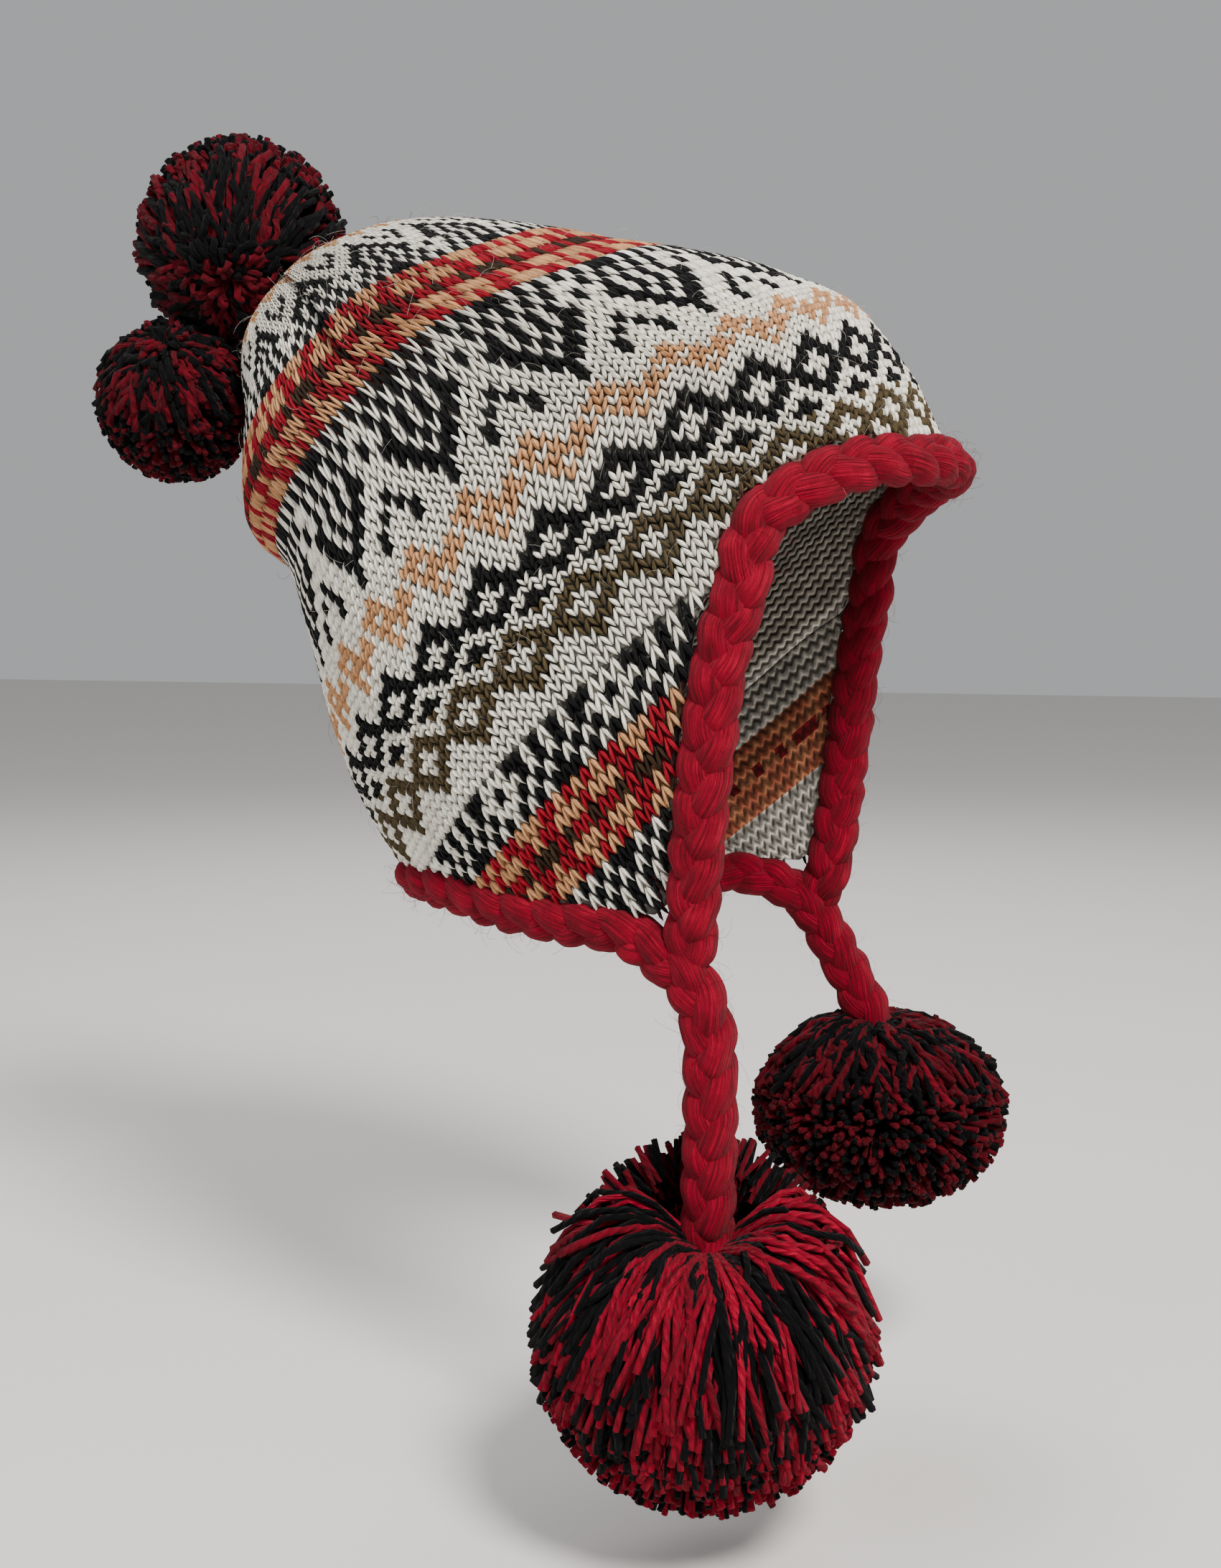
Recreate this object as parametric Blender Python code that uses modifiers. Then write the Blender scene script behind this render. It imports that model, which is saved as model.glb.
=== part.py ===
"""Chullo: a knitted hat with ear flaps, a plaited edging, two plaited ties and four pompoms.

Run with: blender --background --python part.py
Metres, +Z up, the forehead towards -Y, the wearer's right ear towards -X. The origin is the place
on the inside of the crown that sits on the top of the head.
"""
import math
from collections import namedtuple

import bmesh
import bpy
from mathutils import Vector

# Driving sizes, metres
RIM_LENGTH = 0.242          # slanted rim, nape to forehead
RIM_WIDTH = 0.176           # widest place, ear to ear
CROWN_HEIGHT = 0.186        # square to the rim, up to the gather
KNIT_LENGTH = 0.200         # up the fabric, rim to gather
FOREHEAD_DIP = 0.0125       # how far the rows sink over the forehead
EDGE_LIFT = 0.026           # how far the edging climbs above the lowest row
VALLEY_DEPTH = 0.014        # the slack fold on the right of the top
KNIT_WALL = 0.003
FLAP_DEPTH = 0.066
FLAP_WALL = 0.003
FRONT_PLAIT_WIDTH = 0.017
FRONT_PLAIT_THICKNESS = 0.012
FRONT_PLAIT_PITCH = 0.013
BACK_PLAIT_WIDTH = 0.0135
BACK_PLAIT_THICKNESS = 0.011
BACK_PLAIT_PITCH = 0.012
TIE_DIAMETER = 0.0142
RIGHT_POMPOM_WIDTH = 0.106
RIGHT_POMPOM_HEIGHT = 0.110
LEFT_POMPOM_WIDTH = 0.096
LEFT_POMPOM_HEIGHT = 0.078
UPPER_POMPOM_DIAMETER = 0.073
LOWER_POMPOM_DIAMETER = 0.0534

# Angles, degrees
RIM_TILT = 40.0             # the rim climbs from nape to forehead
FLAP_LEAN = 7.0             # the flaps lean in to the cheeks
FLAP_FRONT = 67.0           # flap corners and tip, counted round the rim from the forehead
FLAP_BACK = 140.0
FLAP_TIP = 101.0
VALLEY_AT = 63.0
VALLEY_SPREAD = 20.0

# Clearances, metres
SEAM_GAP = 0.0004           # flap to crown
PLAIT_GAP = 0.0007          # edging to fabric
END_GAP = 0.0008            # plait to tie, and tie to the core of its pompom
REST_GAP = 0.0005           # pompoms at the peak, to each other and to the crown
TIE_GAP = 0.0012            # round and under the tie, at the bottom of a pompom's crater

# Mesh fineness
CROWN_COLUMNS = 60
CROWN_ROWS = 19
FLAP_COLUMNS = 9
FLAP_ROWS = 7
PLAIT_SIDES = 8
RINGS_PER_PITCH = 3

SEAT_REACH = 0.50           # share of KNIT_LENGTH where the crown rests on the head

X_AXIS = Vector((1.0, 0.0, 0.0))
Z_AXIS = Vector((0.0, 0.0, 1.0))
TILT = math.radians(RIM_TILT)
CROWN_AXIS = Vector((0.0, math.sin(TILT), math.cos(TILT)))
RIM_FORWARD = Vector((0.0, -math.cos(TILT), math.sin(TILT)))

# The crown's slanted sections. reach is the share of KNIT_LENGTH up the fabric, rise a share of
# CROWN_HEIGHT, back and front shares of RIM_LENGTH from the crown's axis, width a share of RIM_WIDTH.
Section = namedtuple("Section", "reach rise back front width")
CROWN_SECTIONS = [
    Section(0.000, -0.085, -0.515, 0.465, 0.93),
    Section(0.102, 0.035, -0.508, 0.482, 0.975),
    Section(0.202, 0.140, -0.495, 0.500, 1.00),
    Section(0.286, 0.262, -0.465, 0.505, 1.00),
    Section(0.420, 0.422, -0.410, 0.458, 0.96),
    Section(0.520, 0.565, -0.372, 0.385, 0.90),
    Section(0.585, 0.665, -0.392, 0.325, 0.83),
    Section(0.640, 0.750, -0.355, 0.275, 0.75),
    Section(0.720, 0.845, -0.300, 0.210, 0.62),
    Section(0.835, 0.945, -0.265, 0.125, 0.46),
    Section(0.900, 0.985, -0.240, 0.070, 0.36),
    Section(0.950, 0.990, -0.200, 0.010, 0.24),
    Section(1.000, 0.965, -0.140, -0.060, 0.10),
]

# Where the edging leaves the lowest row. around is degrees from the forehead, lift a share of EDGE_LIFT.
EdgePoint = namedtuple("EdgePoint", "around lift")
CROWN_EDGE = [
    EdgePoint(0.0, 0.67),
    EdgePoint(11.0, 0.68),
    EdgePoint(28.0, 0.92),
    EdgePoint(38.0, 1.00),
    EdgePoint(48.0, 0.97),
    EdgePoint(57.0, 0.70),
    EdgePoint(FLAP_FRONT, 0.0),
    EdgePoint(FLAP_BACK, 0.0),
    EdgePoint(151.0, 0.35),
    EdgePoint(166.0, 0.54),
    EdgePoint(180.0, 0.62),
]

# The ties' routes from the end of the plait to the middle of the pompom, metres from the crown's axis
# at the rim. The chosen points of two cords.
RIGHT_TIE_ROUTE = [
    (-0.0693, -0.0275, -0.0940),
    (-0.0713, -0.0385, -0.1005),
    (-0.0725, -0.0450, -0.1135),
    (-0.0730, -0.0464, -0.1320),
    (-0.0730, -0.0461, -0.1545),
    (-0.0730, -0.0456, -0.1780),
    (-0.0730, -0.0444, -0.2030),
]
LEFT_TIE_ROUTE = [
    (0.0700, -0.0235, -0.0920),
    (0.0730, -0.0330, -0.1010),
    (0.0747, -0.0405, -0.1150),
    (0.0742, -0.0480, -0.1275),
    (0.0732, -0.0555, -0.1420),
    (0.0730, -0.0588, -0.1675),
]
CRATER_FLOOR = 0.07         # the tie's end above the middle of its pompom, share of half the height

# The pompoms at the peak, by the direction in which each one hangs off the gather.
PeakPompom = namedtuple("PeakPompom", "name diameter sideways forward up")
PEAK_POMPOMS = [
    PeakPompom("upper_pompom", UPPER_POMPOM_DIAMETER, -0.150, -0.197, 0.969),
    PeakPompom("lower_pompom", LOWER_POMPOM_DIAMETER, -0.325, -0.938, 0.120),
]

LOCK_ROOT = 0.90            # where the locks of a pompom stand, share of its radius
LOCK_BULGE = 1.01           # how far the blunt corners of a lock stand out, share of the radius
LOCK_TAPER = 0.62
PLAIT_RELIEF = 0.09         # depth of the plait's lobes, share of its width

WOOL_RED = (0.40, 0.012, 0.030, 1.0)
WOOL_DARK_RED = (0.20, 0.008, 0.014, 1.0)
WOOL_CREAM = (0.74, 0.69, 0.60, 1.0)


def smooth_value(table, column, share):
    """A table column read as a smooth curve that never overshoots its rows."""
    places = [row[0] for row in table]
    values = [row[column] for row in table]
    share = min(max(share, places[0]), places[-1])
    slopes = [(values[i + 1] - values[i]) / (places[i + 1] - places[i]) for i in range(len(places) - 1)]
    tangents = [slopes[0]]
    for before, after in zip(slopes, slopes[1:]):
        tangents.append(0.0 if before * after <= 0.0 else 2.0 * before * after / (before + after))
    tangents.append(slopes[-1])
    k = max(i for i in range(len(slopes)) if places[i] <= share or i == 0)
    span = places[k + 1] - places[k]
    s = (share - places[k]) / span
    return ((1 + 2 * s) * (1 - s) ** 2 * values[k] + s * (1 - s) ** 2 * span * tangents[k]
            + s * s * (3 - 2 * s) * values[k + 1] + s * s * (s - 1) * span * tangents[k + 1])


def ease(value):
    """0 below 0, 1 above 1, smooth between."""
    value = min(max(value, 0.0), 1.0)
    return value * value * (3.0 - 2.0 * value)


def crown_point(around, reach):
    """Outside of the crown, from its axis at the rim. around is radians from the forehead."""
    rise, back, front, width = (smooth_value(CROWN_SECTIONS, column, reach) for column in range(1, 5))
    top_fade = 1.0 - min(max((reach - 0.6) / 0.4, 0.0), 1.0)
    sideways = -width * RIM_WIDTH / 2 * math.sin(around)
    forward = ((front + back) / 2 + (front - back) / 2 * math.cos(around)) * RIM_LENGTH
    up = rise * CROWN_HEIGHT - FOREHEAD_DIP * top_fade * ease((math.cos(around) - 0.15) / 0.75)
    off = (math.degrees(around) - VALLEY_AT) / VALLEY_SPREAD
    swell = min(max((reach - 0.5) / 0.12, 0.0), 1.0) * min(max((1.0 - reach) / 0.2, 0.0), 1.0)
    valley = VALLEY_DEPTH * math.exp(-off * off) * swell
    sideways += valley * math.sin(around)
    forward -= valley * math.cos(around)
    return X_AXIS * sideways + RIM_FORWARD * forward + CROWN_AXIS * up


def fabric_point(around, climb):
    """Outside of the knit. climb is metres up the column from the lowest row, less than 0 on a flap."""
    if climb >= 0.0:
        return crown_point(around, climb / KNIT_LENGTH)
    lean = math.radians(FLAP_LEAN)
    side = 1.0 if math.sin(around) >= 0.0 else -1.0
    down = -CROWN_AXIS * math.cos(lean) + X_AXIS * side * math.sin(lean)
    return crown_point(around, 0.0) - down * climb


def fabric_normal(around, climb):
    """Unit normal of the knit, away from the head."""
    step_round, step_up = 0.01, 0.001
    along = fabric_point(around + step_round, climb) - fabric_point(around - step_round, climb)
    upward = fabric_point(around, climb + step_up) - fabric_point(around, climb - step_up)
    return upward.cross(along).normalized()


SEAT = crown_point(0.0, SEAT_REACH) - fabric_normal(0.0, SEAT_REACH * KNIT_LENGTH) * KNIT_WALL


def edge_climb(around):
    """How high the crown's lower edge lies at this place round the rim."""
    folded = math.degrees(abs(math.remainder(around, 2 * math.pi)))
    return smooth_value(CROWN_EDGE, 1, folded) * EDGE_LIFT


def material(name, colour, roughness):
    made = bpy.data.materials.new(name)
    made.use_nodes = True
    shader = made.node_tree.nodes["Principled BSDF"]
    shader.inputs["Base Color"].default_value = colour
    shader.inputs["Roughness"].default_value = roughness
    shader.inputs["Metallic"].default_value = 0.0
    made.diffuse_color = colour
    return made


def add_object(name, mesh, collection, finish):
    mesh.materials.append(finish)
    thing = bpy.data.objects.new(name, mesh)
    collection.objects.link(thing)
    mesh.shade_smooth()
    return thing


def mesh_from(work, name):
    bmesh.ops.recalc_face_normals(work, faces=work.faces)
    mesh = bpy.data.meshes.new(name)
    work.to_mesh(mesh)
    work.free()
    return mesh


def thicken(thing, wall):
    """Fabric grows inwards from its outside."""
    solid = thing.modifiers.new("wall", "SOLIDIFY")
    solid.thickness = wall
    solid.offset = -1.0


def grid_faces(work, grid, closed):
    """Join rows of vertices into a sheet; closed sheets run right round."""
    count = len(grid[0])
    for lower, upper in zip(grid, grid[1:]):
        for i in range(count if closed else count - 1):
            j = (i + 1) % count
            work.faces.new((lower[i], lower[j], upper[j], upper[i]))


def build_crown(collection, finish):
    work = bmesh.new()
    grid = []
    for row in range(CROWN_ROWS + 1):
        ring = []
        for column in range(CROWN_COLUMNS):
            around = 2 * math.pi * column / CROWN_COLUMNS
            start = edge_climb(around) / KNIT_LENGTH
            reach = start + (1.0 - start) * row / CROWN_ROWS
            ring.append(work.verts.new(crown_point(around, reach) - SEAT))
        grid.append(ring)
    grid_faces(work, grid, closed=True)
    middle = sum((corner.co for corner in grid[-1]), Vector()) / CROWN_COLUMNS
    tip = work.verts.new(middle)
    for i in range(CROWN_COLUMNS):
        work.faces.new((grid[-1][i], grid[-1][(i + 1) % CROWN_COLUMNS], tip))
    mesh = mesh_from(work, "crown")
    thicken(add_object("crown", mesh, collection, finish), KNIT_WALL)


def build_flap(name, side, collection, finish):
    """side is 1 for the wearer's right, -1 for the left."""
    work = bmesh.new()
    grid = []
    blunt = 0.04
    for row in range(FLAP_ROWS + 1):
        share = row / FLAP_ROWS * (1.0 - blunt)
        front = FLAP_FRONT + (FLAP_TIP - FLAP_FRONT) * share
        back = FLAP_BACK + (FLAP_TIP - FLAP_BACK) * share
        line = []
        for column in range(FLAP_COLUMNS + 1):
            degrees = front + (back - front) * column / FLAP_COLUMNS
            climb = -SEAM_GAP - (FLAP_DEPTH - SEAM_GAP) * share
            line.append(work.verts.new(fabric_point(side * math.radians(degrees), climb) - SEAT))
        grid.append(line)
    grid_faces(work, grid, closed=False)
    mesh = bpy.data.meshes.new(name)
    work.normal_update()
    middle = list(work.faces)[len(work.faces) // 2]
    if middle.normal.x * side > 0.0:
        bmesh.ops.reverse_faces(work, faces=work.faces)
    work.to_mesh(mesh)
    work.free()
    thicken(add_object(name, mesh, collection, finish), FLAP_WALL)


def edge_path(stations, width, sign):
    """Middle line of an edging along the fabric's edge, with its sideways and outward directions.

    stations are (around, climb) pairs; sign says on which side of the walk the fabric lies."""
    points = [fabric_point(around, climb) for around, climb in stations]
    path = []
    for i, (around, climb) in enumerate(stations):
        tangent = (points[min(i + 1, len(points) - 1)] - points[max(i - 1, 0)]).normalized()
        outward = fabric_normal(around, climb)
        away = tangent.cross(outward).normalized() * sign
        outward = (outward - outward.project(tangent)).normalized()
        path.append(points[i] + away * (width / 2 + PLAIT_GAP) - outward * KNIT_WALL / 2)
    return path


def even_path(points, spacing):
    """The same line with points at about even distances, and its length."""
    lengths = [0.0]
    for before, after in zip(points, points[1:]):
        lengths.append(lengths[-1] + (after - before).length)
    count = max(2, round(lengths[-1] / spacing))
    line = []
    k = 0
    for i in range(count + 1):
        target = lengths[-1] * i / count
        while k < len(points) - 2 and lengths[k + 1] < target:
            k += 1
        share = (target - lengths[k]) / (lengths[k + 1] - lengths[k])
        line.append(points[k].lerp(points[k + 1], share))
    return line


def relaxed(points, passes):
    """Rounds the corners of a line and keeps its ends."""
    for _ in range(passes):
        points = ([points[0]]
                  + [points[i] * 0.5 + (points[i - 1] + points[i + 1]) * 0.25 for i in range(1, len(points) - 1)]
                  + [points[-1]])
    return points


def build_plait(name, path, outward_of, width, thickness, pitch, collection, finish):
    """A three-strand plait as one solid: a flat tube whose two sides swell by turns."""
    line = even_path(path, pitch / RINGS_PER_PITCH)
    work = bmesh.new()
    rings = []
    for i, point in enumerate(line):
        tangent = (line[min(i + 1, len(line) - 1)] - line[max(i - 1, 0)]).normalized()
        outward = outward_of(point)
        outward = (outward - outward.project(tangent)).normalized()
        sideways = tangent.cross(outward)
        turn = 2 * math.pi * i / RINGS_PER_PITCH
        ring = []
        for corner in range(PLAIT_SIDES):
            angle = 2 * math.pi * corner / PLAIT_SIDES
            swell = 1.0 + PLAIT_RELIEF * (math.cos(turn + math.pi / 2 * (1 - math.cos(angle))) - 1.0)
            offset = (sideways * math.cos(angle) * width + outward * math.sin(angle) * thickness) / 2
            ring.append(work.verts.new(point + offset * swell - SEAT))
        rings.append(ring)
    grid_faces(work, rings, closed=True)
    work.faces.new(list(reversed(rings[0])))
    work.faces.new(rings[-1])
    add_object(name, mesh_from(work, name), collection, finish)


def outward_from_axis(point):
    """Direction away from the middle of the head, square to the crown's axis."""
    away = point - CROWN_AXIS * point.dot(CROWN_AXIS)
    return away.normalized()


def front_stations():
    """Edge of the face opening, from the right flap's tip over the forehead to the left one's."""
    half = []
    steps = 24
    for i in range(steps + 1):
        degrees = FLAP_FRONT * i / steps
        half.append((degrees, edge_climb(math.radians(degrees))))
    for i in range(1, steps + 1):
        half.append((FLAP_FRONT + (FLAP_TIP - FLAP_FRONT) * i / steps, -FLAP_DEPTH * i / steps))
    right = [(math.radians(degrees), climb) for degrees, climb in reversed(half)]
    left = [(-math.radians(degrees), climb) for degrees, climb in half[1:]]
    return right + left


def back_stations():
    """Edge of the nape, from the right flap's tip round the back to the left one's."""
    half = []
    steps = 24
    for i in range(steps + 1):
        degrees = 180.0 + (FLAP_BACK - 180.0) * i / steps
        half.append((degrees, edge_climb(math.radians(degrees))))
    for i in range(1, steps + 1):
        half.append((FLAP_BACK + (FLAP_TIP - FLAP_BACK) * i / steps, -FLAP_DEPTH * i / steps))
    right = [(math.radians(degrees), climb) for degrees, climb in reversed(half)]
    left = [(math.radians(360.0 - degrees), climb) for degrees, climb in half[1:]]
    return right + left


def smooth_line(points, spacing):
    return relaxed(even_path(points, spacing), 4)


def back_plait_path():
    """Bends down at both ends, on to the starts of the ties."""
    path = smooth_line(edge_path(back_stations(), BACK_PLAIT_WIDTH, -1.0), BACK_PLAIT_PITCH / 4)
    leads, ends = [], []
    for route, end in ((RIGHT_TIE_ROUTE, 0), (LEFT_TIE_ROUTE, -1)):
        start = Vector(route[0])
        onward = (Vector(route[1]) - start).normalized()
        while (path[end] - start).dot(onward) > 0.0 or (path[end] - start).length < BACK_PLAIT_WIDTH:
            path.pop(end)
        leads.append(start - onward * (END_GAP + BACK_PLAIT_PITCH / 2))
        ends.append(start - onward * END_GAP)
    bent = relaxed(even_path([leads[0], *path, leads[1]], BACK_PLAIT_PITCH / 4), 3)
    return [ends[0], *bent, ends[1]]


def front_plait_path(back_path):
    """Ends just above the back plait and the ties."""
    path = smooth_line(edge_path(front_stations(), FRONT_PLAIT_WIDTH, 1.0), FRONT_PLAIT_PITCH / 4)
    others = back_path + smooth_route(RIGHT_TIE_ROUTE, TIE_DIAMETER / 4) \
        + smooth_route(LEFT_TIE_ROUTE, TIE_DIAMETER / 4)
    room = (FRONT_PLAIT_WIDTH + max(BACK_PLAIT_WIDTH, TIE_DIAMETER)) / 2 + END_GAP
    for end in (0, -1):
        while min((path[end] - other).length for other in others) < room:
            path.pop(end)
    return path


def smooth_route(route, spacing):
    """A smooth curve through the chosen points of a cord, at about even distances."""
    points = [Vector(point) for point in route]
    fine = []
    for i in range(len(points) - 1):
        here, there = points[i], points[i + 1]
        before = points[max(i - 1, 0)]
        after = points[min(i + 2, len(points) - 1)]
        for step in range(8):
            s = step / 8
            fine.append(0.5 * (2 * here + (there - before) * s
                               + (2 * before - 5 * here + 4 * there - after) * s * s
                               + (3 * here - before - 3 * there + after) * s * s * s))
    fine.append(points[-1])
    return even_path(fine, spacing)


def build_tie(name, route, collection, finish):
    """A free plait, as a plain tube."""
    line = smooth_route(route, TIE_DIAMETER / 2)
    curve = bpy.data.curves.new(name, "CURVE")
    curve.dimensions = "3D"
    curve.bevel_depth = TIE_DIAMETER / 2
    curve.bevel_resolution = 2
    curve.use_fill_caps = True
    spline = curve.splines.new("POLY")
    spline.points.add(len(line) - 1)
    for point, place in zip(spline.points, line):
        point.co = (*(place - SEAT), 1.0)
    curve.materials.append(finish)
    collection.objects.link(bpy.data.objects.new(name, curve))


def build_pompom(name, middle, width, height, crater, collection, finish):
    """A ball of cut yarn in blunt locks, fused to one core; a crater takes the end of its tie."""
    work = bmesh.new()
    bmesh.ops.create_icosphere(work, subdivisions=2, radius=LOCK_ROOT)
    sides = list(work.faces)
    if crater:
        peak = max(work.verts, key=lambda corner: corner.co.z)
        sides = [face for face in work.faces if peak not in face.verts]
        bmesh.ops.delete(work, geom=[peak], context="VERTS")
    rim = [edge for edge in work.edges if edge.is_boundary]
    for face in sides:
        lock = bmesh.ops.extrude_discrete_faces(work, faces=[face])["faces"][0]
        centre = lock.calc_center_median()
        tip = centre.normalized()
        for corner in lock.verts:
            corner.co = tip + (corner.co - centre) * LOCK_TAPER
    bmesh.ops.scale(work, vec=(width / 2, width / 2, height / 2), verts=work.verts)
    if crater:
        well = bmesh.ops.extrude_edge_only(work, edges=rim)["geom"]
        bottom = [item for item in well if isinstance(item, bmesh.types.BMVert)]
        radius = (TIE_DIAMETER / 2 + TIE_GAP) / math.cos(math.pi / len(bottom))
        for corner in bottom:
            flat = Vector((corner.co.x, corner.co.y, 0.0)).normalized() * radius
            corner.co = flat + Z_AXIS * CRATER_FLOOR * height / 2
        bmesh.ops.contextual_create(work, geom=bottom)
    bmesh.ops.translate(work, verts=work.verts, vec=middle - SEAT)
    add_object(name, mesh_from(work, name), collection, finish)


def seated_middle(direction, radius):
    """Where a ball's middle lies when it is pulled along the direction, from far away towards the
    gather, until it touches the crown."""
    surface = [crown_point(2 * math.pi * step / 72, 0.6 + 0.4 * level / 30)
               for step in range(72) for level in range(31)]
    gather = CROWN_AXIS * CROWN_SECTIONS[-1].rise * CROWN_HEIGHT \
        + RIM_FORWARD * (CROWN_SECTIONS[-1].front + CROWN_SECTIONS[-1].back) / 2 * RIM_LENGTH
    near, far = 0.0, KNIT_LENGTH
    for _ in range(24):
        half = (near + far) / 2
        spot = gather + direction * half
        if min((spot - point).length for point in surface) < radius * LOCK_BULGE + REST_GAP:
            near = half
        else:
            far = half
    return gather + direction * far


def build_peak_pompoms(collection, finish):
    """A pair tied to the gather: one stands on it, the other leans on the back of the crown."""
    for pompom in PEAK_POMPOMS:
        direction = (X_AXIS * pompom.sideways + RIM_FORWARD * pompom.forward
                     + CROWN_AXIS * pompom.up).normalized()
        middle = seated_middle(direction, pompom.diameter / 2)
        build_pompom(pompom.name, middle, pompom.diameter, pompom.diameter, False, collection, finish)


def main():
    for thing in list(bpy.data.objects):
        bpy.data.objects.remove(thing)
    collection = bpy.data.collections.new("chullo")
    bpy.context.scene.collection.children.link(collection)
    cream = material("cream_knit", WOOL_CREAM, 0.95)
    red = material("red_plait", WOOL_RED, 0.95)
    dark = material("pompom_yarn", WOOL_DARK_RED, 0.95)

    build_crown(collection, cream)
    build_flap("right_flap", 1.0, collection, cream)
    build_flap("left_flap", -1.0, collection, cream)
    back_path = back_plait_path()
    build_plait("front_plait", front_plait_path(back_path), outward_from_axis, FRONT_PLAIT_WIDTH,
                FRONT_PLAIT_THICKNESS, FRONT_PLAIT_PITCH, collection, red)
    build_plait("back_plait", back_path, outward_from_axis, BACK_PLAIT_WIDTH,
                BACK_PLAIT_THICKNESS, BACK_PLAIT_PITCH, collection, red)
    for side, route, width, height in (
            ("right", RIGHT_TIE_ROUTE, RIGHT_POMPOM_WIDTH, RIGHT_POMPOM_HEIGHT),
            ("left", LEFT_TIE_ROUTE, LEFT_POMPOM_WIDTH, LEFT_POMPOM_HEIGHT)):
        build_tie(side + "_tie", route, collection, red)
        middle = Vector(route[-1]) - Z_AXIS * (CRATER_FLOOR * height / 2 + TIE_GAP)
        build_pompom(side + "_pompom", middle, width, height, True, collection, dark)
    build_peak_pompoms(collection, dark)


main()
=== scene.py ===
"""Chullo: the looks of the knitted hat, stitch by stitch and strand by strand.

Metres, +Z up, the forehead towards -Y, the wearer's right ear towards -X.
"""
import math
from collections import namedtuple

import bpy
import numpy as np
from mathutils import Matrix, Vector


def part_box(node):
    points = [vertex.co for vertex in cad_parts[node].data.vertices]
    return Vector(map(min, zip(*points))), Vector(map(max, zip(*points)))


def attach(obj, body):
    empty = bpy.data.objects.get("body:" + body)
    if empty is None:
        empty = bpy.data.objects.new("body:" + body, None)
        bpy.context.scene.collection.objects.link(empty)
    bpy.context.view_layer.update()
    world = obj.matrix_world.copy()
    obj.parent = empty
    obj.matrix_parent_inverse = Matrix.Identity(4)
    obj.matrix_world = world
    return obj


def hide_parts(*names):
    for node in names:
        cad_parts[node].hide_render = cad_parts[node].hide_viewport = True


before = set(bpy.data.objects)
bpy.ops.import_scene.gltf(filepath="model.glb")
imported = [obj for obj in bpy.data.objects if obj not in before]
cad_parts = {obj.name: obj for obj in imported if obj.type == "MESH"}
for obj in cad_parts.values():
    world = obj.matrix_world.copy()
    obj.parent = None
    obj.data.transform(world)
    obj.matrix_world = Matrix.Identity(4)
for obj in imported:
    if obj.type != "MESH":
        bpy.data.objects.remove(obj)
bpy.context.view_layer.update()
random = np.random.default_rng(7)

# Knit: driving sizes, metres
RIM_LENGTH = 0.242
RIM_WIDTH = 0.176
CROWN_HEIGHT = 0.186
KNIT_LENGTH = 0.200
FOREHEAD_DIP = 0.0125
EDGE_LIFT = 0.026
VALLEY_DEPTH = 0.014
KNIT_WALL = 0.003
FLAP_DEPTH = 0.066
FRONT_PLAIT_WIDTH = 0.017
FRONT_LOOK = FRONT_PLAIT_WIDTH * 1.04
FRONT_THICKNESS = 0.0135
FRONT_PLAIT_PITCH = 0.013
BACK_PLAIT_WIDTH = 0.0135
PLAIT_GAP = 0.0007
TIE_LOOK = 0.0172           # how wide the wool makes the ties and the back plait look
BACK_LOOK = 0.0160
BACK_THICKNESS = 0.0130
TIE_PITCH = 0.0125

# Angles, degrees
RIM_TILT = 40.0
FLAP_LEAN = 7.0
FLAP_FRONT = 67.0
FLAP_BACK = 140.0
FLAP_TIP = 101.0
VALLEY_AT = 63.0
VALLEY_SPREAD = 20.0

X_AXIS = np.array((1.0, 0.0, 0.0))
Z_AXIS = np.array((0.0, 0.0, 1.0))
TILT = math.radians(RIM_TILT)
CROWN_AXIS = np.array((0.0, math.sin(TILT), math.cos(TILT)))
RIM_FORWARD = np.array((0.0, -math.cos(TILT), math.sin(TILT)))

# The crown's slanted sections: a share of KNIT_LENGTH up the knit, then rise, back, front and width,
# shares of CROWN_HEIGHT, RIM_LENGTH (twice) and RIM_WIDTH.
CROWN_SECTIONS = [
    (0.000, -0.085, -0.515, 0.465, 0.93),
    (0.102, 0.035, -0.508, 0.482, 0.975),
    (0.202, 0.140, -0.495, 0.500, 1.00),
    (0.286, 0.262, -0.465, 0.505, 1.00),
    (0.420, 0.422, -0.410, 0.458, 0.96),
    (0.520, 0.565, -0.372, 0.385, 0.90),
    (0.585, 0.665, -0.392, 0.325, 0.83),
    (0.640, 0.750, -0.355, 0.275, 0.75),
    (0.720, 0.845, -0.300, 0.210, 0.62),
    (0.835, 0.945, -0.265, 0.125, 0.46),
    (0.900, 0.985, -0.240, 0.070, 0.36),
    (0.950, 0.990, -0.200, 0.010, 0.24),
    (1.000, 0.965, -0.140, -0.060, 0.10),
]

# Degrees from the forehead, and how high the edge stands there, share of EDGE_LIFT
CROWN_EDGE = [
    (0.0, 0.67), (11.0, 0.68), (28.0, 0.92), (38.0, 1.00), (48.0, 0.97), (57.0, 0.70),
    (FLAP_FRONT, 0.0), (FLAP_BACK, 0.0), (151.0, 0.35), (166.0, 0.54), (180.0, 0.62),
]

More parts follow.
